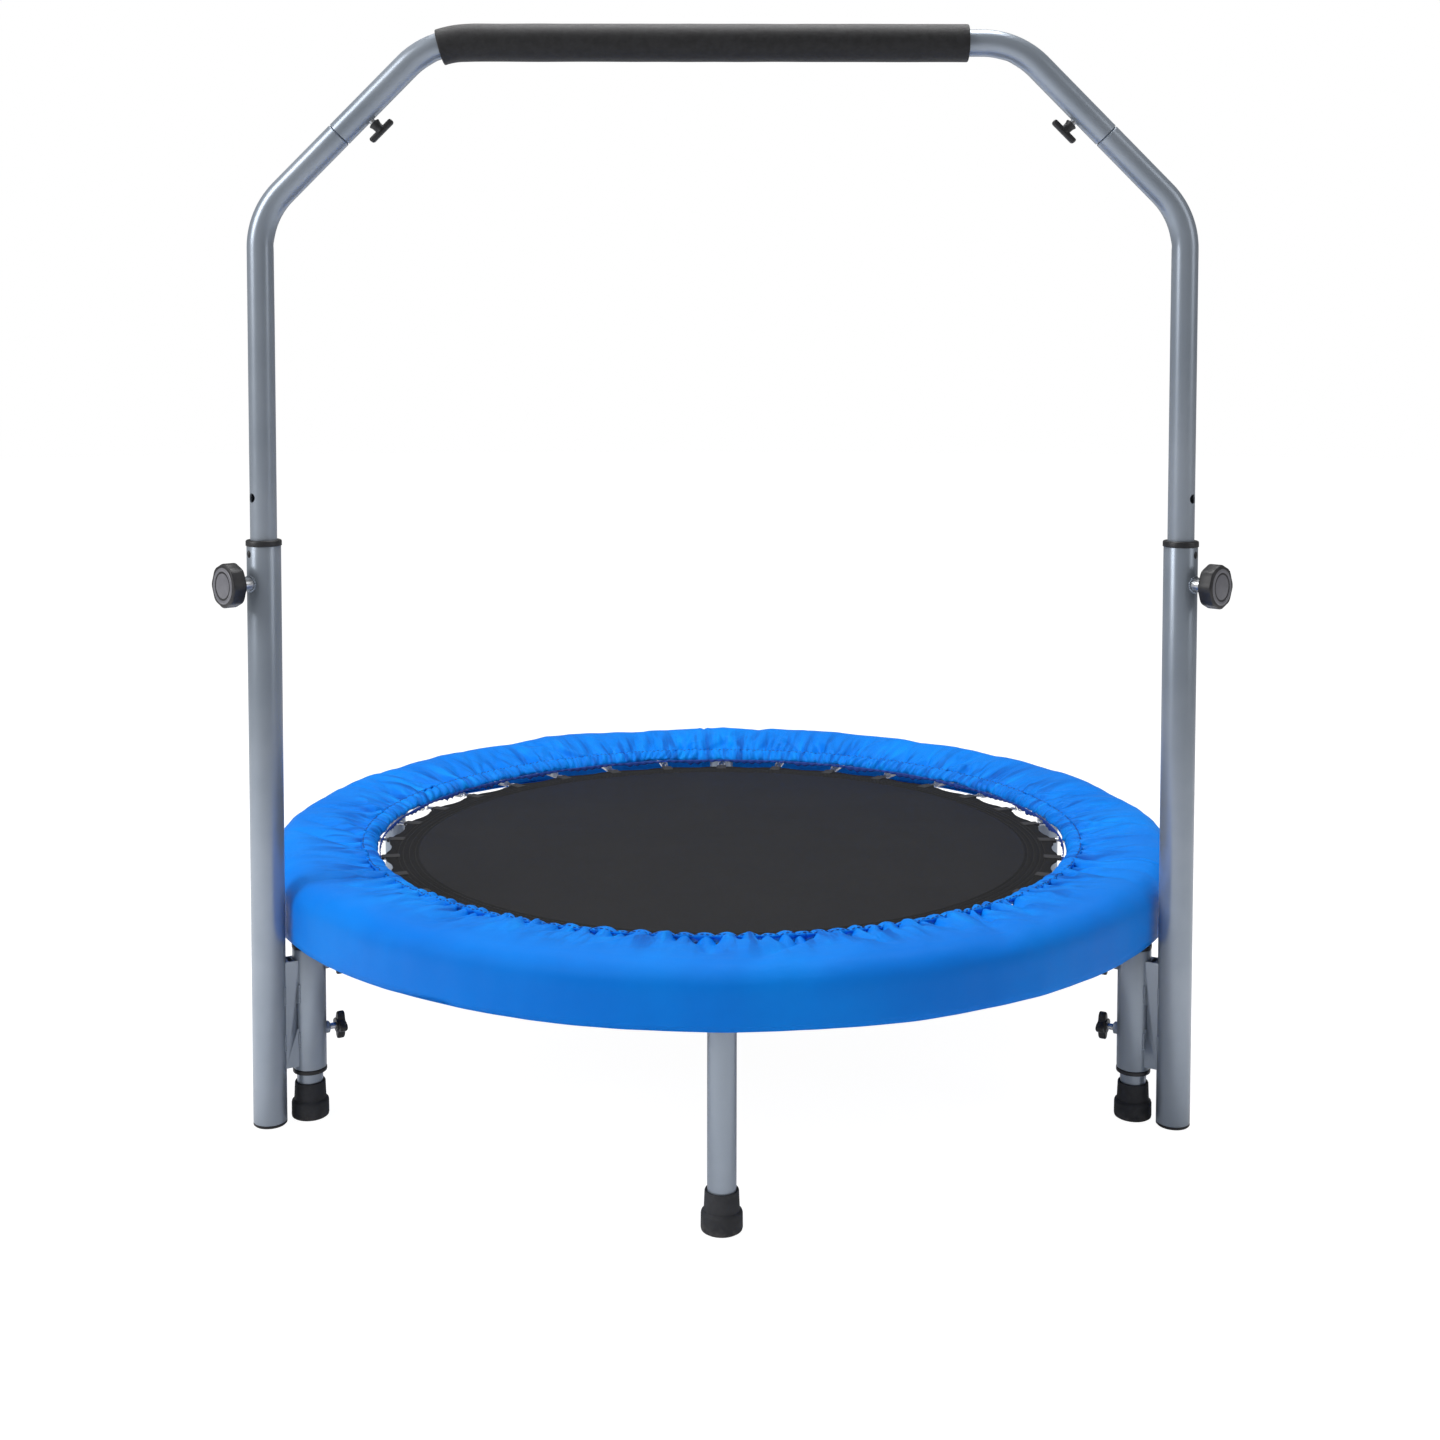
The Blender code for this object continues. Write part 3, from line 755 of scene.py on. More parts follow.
def make_post(name, side, finishes):
    post = f"post_{name}"
    low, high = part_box(post)
    at = Matrix.Translation(ground_point(post))
    radius = tube_radius(post)
    bore = BAR_R + 0.0004
    walls = [(radius, high.z), (radius, low.z), (bore, low.z), (bore, high.z)]
    skin = spun(walls, 56, True, 0.0003)
    piece(f"post_tube_{name}", skin, finishes["paint"], "base", [post], at)

    node = f"post_cap_{name}"
    low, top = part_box(node)
    flange = tube_radius(node)
    cap = [
        (0, top.z),
        (bore, top.z),
        (bore, low.z + 0.0029),
        (flange + 0.0003, low.z + 0.0026),
        (flange + 0.0003, low.z + 0.0010),
        (flange - 0.0007, low.z),
        (0.0050, low.z),
        (0.0045, low.z + 0.0008),
        (0, low.z + 0.0008),
    ]
    plug = spun(cap, 48)
    piece(f"post_plug_{name}", plug, finishes["plastic"], "base", [node], at)
    make_collar(name, side, at, radius, high.z, finishes)
    make_boss(name, side, radius, finishes)


def make_collar(name, side, at, post_radius, post_top, finishes):
    """The bush at the post's mouth, with its snap button through the post's wall."""
    node = f"post_collar_{name}"
    low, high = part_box(node)
    rim = post_radius + 0.0008
    profile = [
        (BAR_R + 0.0002, low.z),
        (BAR_R + 0.0002, high.z - 0.0012),
        (BAR_R + 0.0008, high.z - 0.0003),
        (BAR_R + 0.0016, high.z),
        (rim - 0.0014, high.z),
        (rim - 0.0004, high.z - 0.0005),
        (rim, high.z - 0.0014),
        (rim, post_top + 0.0006),
        (rim - 0.0004, post_top + 0.0002),
        (post_radius - 0.0018, post_top + 0.0002),
        (post_radius - 0.0018, low.z),
    ]
    ring = spun(profile, 56, True)
    dome = [(0, 0.0012), (0.0012, 0.0011), (0.0021, 0.0007), (0.0027, 0.0)]
    button = spun(dome + [(0.0027, -0.003), (0, -0.003)], 24)
    bmesh.ops.scale(button, vec=(1, 1.35, 1), verts=button.verts)
    spot = pin_way(side) * post_radius + UP * BUTTON_Z
    add(ring, button, Matrix.Translation(spot) @ pin_turn(side))
    bmesh.ops.recalc_face_normals(ring, faces=ring.faces)
    piece(f"collar_{name}", ring, finishes["plastic"], "base", [node], at)


def pin_way(side):
    """The direction that a height pin and the height holes face."""
    return Vector((side, -1, 0)).normalized()


def ring_on_tube(radius, tube, count):
    """Points round a boss, on the tube that it stands on. Local Z is the boss's axis."""
    points = []
    for i in range(count):
        angle = math.tau * i / count
        across = radius * math.cos(angle)
        points.append(Vector((across, radius * math.sin(angle), math.sqrt(tube**2 - across**2))))
    return points


def pin_turn(side):
    """Local Z points out along the pin, local Y is up."""
    way = pin_way(side)
    return Matrix((UP.cross(way), UP, way)).transposed().to_4x4()


def pin_matrix(name, side):
    return Matrix.Translation(ground_point(f"post_{name}") + UP * PIN_Z) @ pin_turn(side)


def make_boss(name, side, post_radius, finishes):
    at = pin_matrix(name, side)
    bore = PIN_R + 0.0002
    profile = [
        (bore, post_radius - 0.003),
        (BOSS_R, post_radius - 0.003),
        (BOSS_R, BOSS_END - 0.0022),
        (BOSS_R - 0.0006, BOSS_END - 0.0018),
        (BOSS_R - 0.0006, BOSS_END),
        (bore, BOSS_END),
    ]
    boss = spun(profile, 40, True, 0.0003)
    piece(f"boss_{name}", boss, finishes["zinc"], "base", [f"pin_boss_{name}"], at)
    weld = beads(ring_on_tube(BOSS_R + 0.0004, post_radius, 22), 0.0012, 5)
    piece(f"boss_weld_{name}", weld, finishes["paint"], "base", (), at)


def make_height_knob(name, side, finishes):
    """A lobed grip with a domed cap, on its spring-loaded pin."""
    body = f"height_pin_{name}"
    at = pin_matrix(name, side)
    low, high = HEIGHT_KNOB
    face = high - 0.0006
    grip = lobed(HEIGHT_KNOB_R, 8, 0.045, low, face, 0.0016)
    root, rim = low + 0.001, low - 0.0012
    skirt = [(0, root), (0.0105, root), (0.0100, rim), (0, rim)]
    add(grip, spun(skirt, 40, rounding=0.0003))
    bmesh.ops.recalc_face_normals(grip, faces=grip.faces)
    node = f"height_knob_{name}"
    piece(f"pin_knob_{name}", grip, finishes["plastic"], body, [node], at)
    cap = [
        (0, face + 0.0010),
        (0.0040, face + 0.0009),
        (0.0080, face + 0.0006),
        (0.0118, face + 0.0001),
        (0.0122, face - 0.0007),
        (0.0134, face - 0.0007),
        (0.0138, face + 0.0003),
        (0.0150, face + 0.0005),
        (0.0166, face + 0.0004),
        (0.0173, face - 0.0001),
        (0.0174, face - 0.0010),
    ]
    piece(f"pin_knob_cap_{name}", spun(cap, 64), finishes["cap"], body, (), at)
    rod = pointed_rod(PIN_R, low + 0.002, PIN_TIP, 0.001, 28)
    piece(f"pin_rod_{name}", rod, finishes["zinc"], body, (), at)


def upright_ends(name, side):
    """Where an upright starts, where it meets the top bar, and its slope there."""
    foot = ground_point(f"post_{name}")
    low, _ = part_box(f"upright_{name}")
    slope = Vector((-side, 0, 1)).normalized()
    _, bar_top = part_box("top_bar")
    joint = Vector((side * JOINT_X, foot.y, bar_top.z - BAR_R - (JOINT_X - TOP_HALF)))
    return Vector((foot.x, foot.y, low.z)), joint, slope


def make_upright(name, side, finishes):
    foot, joint, _ = upright_ends(name, side)
    corner = Vector((foot.x, foot.y, joint.z - (abs(foot.x) - JOINT_X)))
    tangent = BEND_R * math.tan(math.pi / 8)
    moves = [
        ("run", corner.z - foot.z - tangent, 8),
        ("swing", -side * math.pi / 4, 28),
        ("run", (joint - corner).length - tangent - SWAGE_LENGTH, 2),
        ("neck", SWAGE_LENGTH, 3),
        ("run", NECK_LENGTH, 2),
    ]
    shape = swept(BAR_R, foot, UP, moves)
    start = corner - UP * tangent
    inner = Vector((-side, 0, 0))
    dent(shape, start + Vector((0, 0, 0.004)), inner)
    made, node = f"upright_tube_{name}", f"upright_{name}"
    upright = piece(made, shape, finishes["paint"], "handle", [node])
    give_wall(upright, BAR_WALL)
    heights = [PIN_Z + step * HOLE_PITCH for step in HOLE_STEPS]
    holes = [(Vector((foot.x, foot.y, height)), pin_way(side)) for height in heights]
    drill(upright, holes, HOLE_R, BAR_R - 0.005, BAR_R + 0.003)


def make_top_bar(finishes):
    _, joint, slope = upright_ends("left", -1)
    tangent = BEND_R * math.tan(math.pi / 8)
    leg = (JOINT_X - TOP_HALF) * math.sqrt(2) - tangent
    level = 2 * (TOP_HALF - tangent)
    moves = [
        ("run", leg, 2),
        ("swing", math.pi / 4, 28),
        ("run", level, 4),
        ("swing", math.pi / 4, 28),
        ("run", leg, 2),
    ]
    shape = swept(BAR_R, joint, slope, moves)
    _, bar_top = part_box("top_bar")
    level_z = bar_top.z - BAR_R
    middle = math.pi / 8
    for side in SIDES.values():
        swing_centre = Vector((side * (TOP_HALF - tangent), joint.y, level_z - BEND_R))
        inner = Vector((-side * math.sin(middle), 0, -math.cos(middle)))
        dent(shape, swing_centre - inner * BEND_R, inner)
    bar = piece("top_bar_tube", shape, finishes["paint"], "handle", ["top_bar"])
    give_wall(bar, BAR_WALL)
    settle(bar)
    make_grip(level_z, joint.y, tangent, finishes)


def make_grip(level_z, y, tangent, finishes):
    """The foam sleeve. Its left end rides onto the bend, where it flares and leans."""
    low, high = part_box("foam_grip")
    radius = (high.y - low.y) / 2
    bend_start = TOP_HALF - tangent
    swing = math.asin((-low.x - bend_start) / BEND_R)
    moves = [("run", high.x + bend_start, 90), ("swing", -swing, 9)]
    shape = swept(radius, (high.x, y, level_z), (-1, 0, 0), moves, 48)
    for vert in shape.verts:
        along = vert.co.x
        ripple = 0.00022 * noise.noise(Vector((along * 26, vert.co.z * 40, vert.co.y * 40)))
        end = max(0.0, (-0.232 - along) / 0.034)
        below = (level_z - vert.co.z) / radius
        centre = Vector((along, y, level_z))
        outwards = (vert.co - centre).normalized()
        vert.co += outwards * (ripple + end * (0.0013 * below - 0.0004))
        vert.co.x += 0.0016 * end * (1 - below) * 0.5
    for is_right in (False, True):
        rim = [e for e in shape.edges if e.is_boundary and (e.verts[0].co.x > 0) == is_right]
        grown = bmesh.ops.extrude_edge_only(shape, edges=rim)
        verts = [item for item in grown["geom"] if isinstance(item, bmesh.types.BMVert)]
        middle = sum((v.co for v in verts), Vector()) / len(verts)
        share = (BAR_R + 0.0001) / radius
        bmesh.ops.scale(shape, vec=(share,) * 3, verts=verts, space=Matrix.Translation(-middle))
    bmesh.ops.recalc_face_normals(shape, faces=shape.faces)
    soften(shape, 0.0012, 3, 40)
    grip = piece("grip_sleeve", shape, finishes["foam"], "handle", ["foam_grip"])


def make_tee_screw(name, side, finishes):
    """A T-shaped screw that clamps an upright's neck in the top bar's end."""
    body = f"tee_screw_{name}"
    _, joint, slope = upright_ends(name, side)
    at = facing(Vector((-side, 0, -1)), joint + slope * TEE_FROM_END)
    low, high = TEE_HUB
    hub = [
        (0, high + 0.002),
        (0.0052, high + 0.002),
        (0.0049, high),
        (0.0046, high - 0.0018),
        (0.0048, low + 0.0032),
        (0.0056, low + 0.0010),
        (0.0057, low + 0.0004),
        (0.0053, low),
        (0, low),
    ]
    knob = spun(hub, 36)
    bar = rounded_box(TEE_BAR, 0.0022, 4)
    for vert in bar.verts:
        reach = abs(vert.co.y) / (TEE_BAR[1] / 2)
        vert.co.x *= 1 - 0.22 * reach**2
        vert.co.z -= 0.0009 * reach**2
    add(knob, bar, Matrix.Translation((0, 0, high + TEE_BAR[2] / 2)))
    bmesh.ops.recalc_face_normals(knob, faces=knob.faces)
    node = f"tee_knob_{name}"
    piece(f"tee_grip_{name}", knob, finishes["plastic"], body, [node], at)
    stud = pointed_rod(STUD_R, low + 0.001, TEE_TIP)
    piece(f"tee_stud_{name}", stud, finishes["zinc"], body, (), at)


# ---------------------------------------------------------------- leg clamps


def make_clamp(name, side, finishes):
    leg = f"leg_{2 if side > 0 else LEG_COUNT}"
    at = Matrix.Translation(ground_point(leg))
    inward = -ground_point(leg).normalized()
    node = f"clamp_sleeve_{name}"
    low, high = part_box(node)
    outer = tube_radius(f"clamp_bush_top_{name}") - 0.0004
    inner = outer - 0.0015
    walls = [(outer, high.z), (outer, low.z), (inner, low.z), (inner, high.z)]
    sleeve = spun(walls, 56, True, 0.0004)
    piece(f"sleeve_{name}", sleeve, finishes["paint"], "base", [node], at)

    for end in ("bottom", "top"):
        node = f"clamp_bush_{end}_{name}"
        low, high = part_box(node)
        bore, plug, flange = tube_radius(leg) + 0.0002, outer - 0.0018, outer + 0.0004
        root, face, lip = (low.z, high.z, 0.0040) if end == "top" else (high.z, low.z, -0.0040)
        rows = [(plug, root), (bore, root), (bore, face), (flange, face)]
        rows += [(flange, face - lip), (plug, face - lip)]
        bush = spun(rows, 56, True, 0.0007)
        piece(f"bush_{end}_{name}", bush, finishes["plastic"], "base", [node], at)

    for level, height in STAR_HEIGHTS.items():
        stud_at = facing(inward, ground_point(leg) + UP * height)
        seat = outer - 0.002
        block = [(0, NUT_END), (NUT_R, NUT_END), (NUT_R, seat), (0, seat)]
        nut = spun(block, 6, rounding=0.0006)
        piece(f"weld_nut_{level}_{name}", nut, finishes["paint"], "base", (), stud_at)
        make_star_screw(level, name, stud_at, finishes)
    make_bracket(name, leg, outer, finishes)


def make_star_screw(level, name, at, finishes):
    """A four-lobed knob on its stud."""
    body = f"clamp_screw_{level}_{name}"
    low, high = STAR_KNOB
    head = lobed(STAR_R, 4, 0.40, low + 0.0012, high, 0.0016)
    root, seat = low + 0.003, high - 0.0004
    hub = [(0, root), (0.0068, root), (0.0064, low), (0, low)]
    add(head, spun(hub, 36, rounding=0.0004))
    boss = [(0, high + 0.0009), (0.0040, high + 0.0008), (0.0050, seat), (0, seat)]
    add(head, spun(boss, 36))
    bmesh.ops.recalc_face_normals(head, faces=head.faces)
    node = f"clamp_knob_{level}_{name}"
    piece(f"star_knob_{level}_{name}", head, finishes["plastic"], body, [node], at)
    stud = pointed_rod(STUD_R, low + 0.001, STAR_TIP)
    piece(f"star_stud_{level}_{name}", stud, finishes["zinc"], body, (), at)


def make_bracket(name, leg, sleeve_radius, finishes):
    """The box section between sleeve and post, taken from the frame's mesh with its flat faces merged, and
    its welds.
    """
    node = f"clamp_bracket_{name}"
    shape = bmesh.new()
    shape.from_mesh(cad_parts[node].data)
    bmesh.ops.remove_doubles(shape, verts=shape.verts, dist=0.00002)
    bmesh.ops.dissolve_limit(
        shape,
        angle_limit=math.radians(2),
        verts=shape.verts,
        edges=shape.edges,
    )
    piece(f"bracket_{name}", shape, finishes["paint"], "base", [node])
    middle = ground_point(leg)
    out = middle.normalized()
    across = UP.cross(out)
    post = ground_point(f"post_{name}")
    seams = []
    for way in (-1, 1):
        for axis, radius, turn in ((middle, sleeve_radius, 1), (post, POST_R, -1)):
            half = BRACKET_HALF * way
            reach = math.sqrt(radius**2 - half**2) * turn
            foot = axis + out * reach + across * half
            for start, end in WELD_SPANS:
                rows = int((end - start) / BEAD_PITCH)
                seams += [foot + UP * (start + BEAD_PITCH * i) for i in range(rows)]
    weld = beads(seams, 0.0012, 11)
    piece(f"bracket_weld_{name}", weld, finishes["paint"], "base")


# ---------------------------------------------------------------- mat and springs


def tab_edge(angle, tab):
    """The mat's edge: out at each tab, in between them."""
    wave = (math.cos(TAB_COUNT * angle) + 1) / 2
    return VALLEY_R + (tab - VALLEY_R) * min(1.0, wave * 1.7) ** 1.4


def make_mat(finishes):
    low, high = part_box("mat")
    top, under = high.z, low.z
    rows = [(0, top), (0.10, top), (0.20, top), (0.29, top), (MAT_SEAMS[0] - 0.006, top)]
    for radius in MAT_SEAMS:
        rows += [
            (radius - 0.0021, top - 0.0001),
            (radius - 0.0010, top - 0.0006),
            (radius + 0.0010, top - 0.0006),
            (radius + 0.0021, top - 0.0001),
        ]
    rows += [(0.3535, top), (0.3562, top), (0.3590, top), (MAT_EDGE_R, top - 0.0004)]
    rows += [(MAT_EDGE_R, under + 0.0002), (0.3590, under), (0.33, under), (0.2, under), (0, under)]
    edge_start = MAT_SEAMS[3] - 0.006
    shape = spun(rows, TAB_COUNT * 12)
    for vert in shape.verts:
        radius = math.hypot(vert.co.x, vert.co.y)
        if radius > edge_start:
            angle = math.atan2(vert.co.y, vert.co.x)
            share = (radius - edge_start) / (MAT_EDGE_R - edge_start)
            wanted = edge_start + (tab_edge(angle, high.x) - edge_start) * share
            vert.co.x *= wanted / radius
            vert.co.y *= wanted / radius
    mat = piece("jumping_mat", shape, finishes["mat"], "mat", ["mat"])
    stitches = make_stitches(top, finishes)
    loops = make_loops(finishes)
    rings = make_rings(finishes)


def make_stitches(top, finishes):
    """The four rows of black stitches that hold the mat's hem."""
    shape = bmesh.new()
    for radius in MAT_SEAMS:
        stitch = bmesh.new()
        size = Matrix.Diagonal((0.0004, 0.0019, 0.0003, 1))
        lie = Matrix.Translation((radius, 0, top - 0.00045)) @ size
        bmesh.ops.create_uvsphere(stitch, u_segments=6, v_segments=4, radius=1, matrix=lie)
        add(shape, repeated(stitch, int(math.tau * radius / 0.0052)))
    return piece("mat_stitches", shape, finishes["webbing"], "mat")


def make_loops(finishes):
    """A webbing loop at each tab, which holds a steel ring."""
    middle = centre_of("mat").z
    strap = rounded_box((0.019, 0.0125, 0.0030), 0.0008, 2)
    bmesh.ops.translate(strap, vec=(0.3585, 0, middle), verts=strap.verts)
    shape = repeated(strap, TAB_COUNT)
    return piece("mat_loops", shape, finishes["webbing"], "mat")


def bent_wire(points, radius, sides=8):
    """A wire whose ring is run from point to point and leaned half way at each corner."""
    shape = bmesh.new()
    ways = [(b - a).normalized() for a, b in zip(points, points[1:])]
    bmesh.ops.create_circle(shape, segments=sides, radius=radius, matrix=facing(ways[0], points[0]))
    ring = shape.verts[:] + shape.edges[:]
    for i, way in enumerate(ways):
        step = {"cent": points[i], "axis": way, "dvec": points[i + 1] - points[i], "angle": 0}
        grown = bmesh.ops.spin(shape, geom=ring, steps=1, **step)
        ring = [item for item in grown["geom_last"] if not isinstance(item, bmesh.types.BMFace)]
        if i + 1 < len(ways):
            turn = way.rotation_difference(ways[i + 1]).to_matrix()
            verts = [item for item in ring if isinstance(item, bmesh.types.BMVert)]
            bmesh.ops.rotate(shape, cent=points[i + 1], matrix=turn, verts=verts)
    return shape


def make_rings(finishes):
    """The steel V-rings that join the mat's loops to the springs."""
    middle = centre_of("mat").z
    corners = [(0.3640, 0.0), (0.3640, 0.0055), (0.3735, 0.0022), (INNER_EYE, 0.0)]
    corners += [(0.3735, -0.0022), (0.3640, -0.0055), (0.3640, 0.0)]
    points = [Vector((x, y, middle)) for x, y in corners]
    shape = repeated(bent_wire(points, 0.0011), TAB_COUNT)
    return piece("mat_rings", shape, finishes["zinc"], "mat")


def make_springs(finishes):
    """The coil springs. Each outer hook stays on the frame, each inner one follows the mat."""
    middle = centre_of("mat").z
    hoop = bmesh.new()
    start = facing(ACROSS, (OUTER_EYE, 0, middle))
    bmesh.ops.create_circle(hoop, segments=12, radius=HOOP_R, matrix=start)
    turn_fully(hoop, 192)
    piece("hook_hoop", hoop, finishes["zinc"], "base", ["springs"])

    unit = spring_mesh(middle)
    for number in range(TAB_COUNT):
        turn = Matrix.Rotation(math.tau * number / TAB_COUNT, 4, "Z")
        shape = bmesh.new()
        shape.from_mesh(unit)
        spring = piece(f"spring_{number + 1}", shape, finishes["zinc"], None, (), turn)
        outer = turn @ Vector((OUTER_EYE, 0, middle))
        inner = turn @ Vector((INNER_EYE, 0, middle))
        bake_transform(spring, "base", "mat", start=outer, end=inner)
    bpy.data.meshes.remove(unit)


def spring_mesh(middle):
    """One closely wound coil spring along X, with a hook at each end."""
    coil_r = COIL_R - SPRING_WIRE_R
    shape = bmesh.new()
    start = Vector((COIL_START, 0, middle + coil_r))
    bmesh.ops.create_circle(shape, segments=6, radius=SPRING_WIRE_R, matrix=facing(ACROSS, start))
    steps = SPRING_TURNS * 12
    bmesh.ops.spin(
        shape,
        geom=shape.verts[:] + shape.edges[:],
        cent=(COIL_START, 0, middle),
        axis=(1, 0, 0),
        dvec=((COIL_END - COIL_START) / steps, 0, 0),
        angle=-SPRING_TURNS * math.tau,
        steps=steps,
    )
    add(shape, hook(COIL_START, INNER_EYE, middle, coil_r))
    add(shape, hook(COIL_END, OUTER_EYE, middle, coil_r))
    bmesh.ops.holes_fill(shape, edges=shape.edges, sides=6)
    bmesh.ops.recalc_face_normals(shape, faces=shape.faces)
    mesh = bpy.data.meshes.new("spring")
    shape.to_mesh(mesh)
    shape.free()
    return mesh


def hook(coil_end, eye, middle, coil_r):
    """A spring's end: from the coil's edge to an open eye round a ring or rod."""
    out = 1 if eye > coil_end else -1
    points = [Vector((coil_end, 0, middle + coil_r))]
    radius = 0.0022
    for i in range(9):
        angle = math.pi * (0.75 - 1.5 * i / 8)
        across, up = out * radius * math.cos(angle), radius * math.sin(angle)
        points.append(Vector((eye + across, 0, middle + up)))
    return bent_wire(points, SPRING_WIRE_R, 6)


# ---------------------------------------------------------------- cover


class Gathers:
    """How the elastic draws the cover in: creases round the hem, with folds out from them."""

    def __init__(self):
        dice = random.Random(23)
        angle = 0.0
        self.creases = []
        while angle < math.tau - 0.02:
            self.creases.append(angle)
            front = (1 - math.sin(angle)) / 2
            angle += (0.024 + 0.019 * front) * dice.uniform(0.70, 1.35)
        self.creases = np.array(self.creases + [math.tau])
        cells = len(self.creases)
        self.rise = np.array([dice.uniform(0.65, 1.30) for _ in range(cells)])
        self.edge = np.array([dice.uniform(-1.0, 1.0) for _ in range(cells)])
        self.folds = []
        for crease in self.creases[:-1]:
            kind = LONG_FOLD if dice.random() < LONG_SHARE else SHORT_FOLD
            self.add_fold(dice, crease, *kind)
        for _ in range(RIDGE_COUNT):
            self.add_fold(dice, dice.uniform(0, math.tau), *RIDGE)

    def add_fold(self, dice, start, slant, length, depth, width):
        """A fold that starts at an angle on the stitch line; the ranges are in metres."""
        across = dice.uniform(-1.0, 1.0) * slant
        self.folds.append(
            (start, across, dice.uniform(*length), dice.uniform(*depth), dice.uniform(*width))
        )

    def puff(self, angle):
        """0 at each crease and up to about 1 between two, with that cell's rise and edge."""
        angle = np.mod(angle, math.tau)
        cell = np.clip(np.searchsorted(self.creases, angle) - 1, 0, len(self.creases) - 2)
        start, end = self.creases[cell], self.creases[cell + 1]
        share = np.clip((angle - start) / (end - start), 0, 1)
        return np.sin(math.pi * share) ** 0.7, self.rise[cell], self.edge[cell]

    def height(self, angle, out, radius):
        """How far the cloth stands off its smooth form, at a distance out from the stitch line."""
        total = np.zeros_like(angle)
        for start, slant, length, depth, width in self.folds:
            apart = np.mod(angle - start - slant * out / radius + math.pi, math.tau) - math.pi
            spread = width * (1 + out / 0.045)
            near = np.exp(-((np.abs(apart * radius) / spread) ** 1.3))
            fade = np.clip(1 - out / length, 0, 1)
            total += depth * near * fade
        return total


def lay_cloth_map(shape, along):
    """A map in metres: round the cover, and along a stored distance."""
    layer = shape.loops.layers.uv.new("cloth")
    for face in shape.faces:
        angles = [math.atan2(loop.vert.co.y, loop.vert.co.x) for loop in face.loops]
        wraps = max(angles) - min(angles) > math.pi
        for loop, angle in zip(face.loops, angles):
            if wraps and angle < 0:
                angle += math.tau
            loop[layer].uv = (angle * HEM_R, loop.vert[along])


def cover_rows():
    """The cover's smooth section as (radius, height) points from stitch line to lower edge."""
    low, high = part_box("cover")
    side, top, bottom = high.x, high.z, low.z
    start = Vector((HEM_R + 0.0062, HEM_Z + 0.0036))
    crest = Vector((side - CREST_IN, top))
    rows = []
    top_rows, shoulder_rows, skirt_rows = 24, 9, 6
    for i in range(top_rows):
        share = i / top_rows
        rise = math.sin(share * math.pi / 2)
        rows.append((start.x + (crest.x - start.x) * share, start.y + (crest.y - start.y) * rise))
    for i in range(shoulder_rows):
        turn = math.pi / 2 * i / shoulder_rows
        fall = SHOULDER_DROP * (1 - math.cos(turn))
        rows.append((crest.x + CREST_IN * math.sin(turn), crest.y - fall))
    skirt = top - SHOULDER_DROP
    for i in range(skirt_rows):
        rows.append((side, skirt - (skirt - bottom) * i / (skirt_rows - 1)))
    rows += [(side - 0.0016, bottom - 0.0002), (side - 0.0036, bottom + 0.0012)]
    return rows


def make_cover(finishes):
    rows = cover_rows()
    shape = bmesh.new()
    along = shape.verts.layers.float.new("run")
    tilt = shape.verts.layers.float.new("tilt")
    points = [shape.verts.new((radius, 0, height)) for radius, height in rows]
    run = [0.0]
    for before, after in zip(rows, rows[1:]):
        run.append(run[-1] + math.dist(before, after))
    lean = []
    for i in range(len(rows)):
        before, after = rows[max(0, i - 1)], rows[min(len(rows) - 1, i + 1)]
        lean.append(math.atan2(after[1] - before[1], after[0] - before[0]) + math.pi / 2)
    for point, far, turn in zip(points, run, lean):
        point[along] = far
        point[tilt] = turn
    for pair in zip(points, points[1:]):
        shape.edges.new(pair)
    turn_fully(shape, COVER_STEPS)
    along = shape.verts.layers.float["run"]
    tilt = shape.verts.layers.float["tilt"]
    gathers = Gathers()
    where = np.array([vert.co for vert in shape.verts])
    out = np.array([vert[along] for vert in shape.verts])
    lean = np.array([vert[tilt] for vert in shape.verts])
    angle = np.arctan2(where[:, 1], where[:, 0])
    radius = np.hypot(where[:, 0], where[:, 1])
    offset = gathers.height(angle, out, radius)
    puff, rise, _ = gathers.puff(angle)
    offset += np.exp(-((out / 0.012) ** 2)) * (0.0052 * (puff - 0.5) * rise - 0.0006)
    wide = np.array([noise.noise(Vector((12 * co[0], 12 * co[1], 9 * co[2]))) for co in where])
    fine = np.array([noise.noise(Vector((42 * co[0], 42 * co[1], 20 * co[2] + 5))) for co in where])
    shoulder = np.clip(out / 0.05, 0, 1)
    offset += (0.0026 * wide + 0.0009 * fine) * shoulder * np.clip(1.25 - out / 0.20, 0.35, 1)
    for seam in SEAM_ANGLES:
        apart = (np.mod(angle - seam + math.pi, math.tau) - math.pi) * radius
        offset -= 0.0012 * np.exp(-((apart / 0.0022) ** 2))
        offset += 0.0008 * np.exp(-(((np.abs(apart) - 0.005) / 0.003) ** 2))
    # Over the rail the cloth can't sink as far as over the springs
    lowest = -0.0085 + 0.0068 * np.clip((out - 0.062) / 0.018, 0, 1)
    offset = np.clip(offset, lowest, 0.0046)
    sag = FRONT_SAG * (1 - np.sin(angle)) / 2
    sag *= np.clip(out / 0.050, 0, 1) * np.clip(1 - (out - 0.072) / 0.042, 0, 1)
    for vert, co, turn, lift, fall in zip(shape.verts, where, lean, offset, sag):
        round_about = math.atan2(co[1], co[0])
        away = lift * math.cos(turn)
        vert.co.x += away * math.cos(round_about)
        vert.co.y += away * math.sin(round_about)
        vert.co.z += lift * math.sin(turn) - fall
    lay_cloth_map(shape, along)
    cloth = finishes["cover"]
    cover = piece("spring_cover", shape, cloth, "base", ["cover"], sharp=180)
    give_wall(cover, COVER_SHELL)
    hem = make_hem(gathers, finishes)
    lining = make_hem_lining(finishes)
    seam = make_hem_stitches(gathers, finishes)


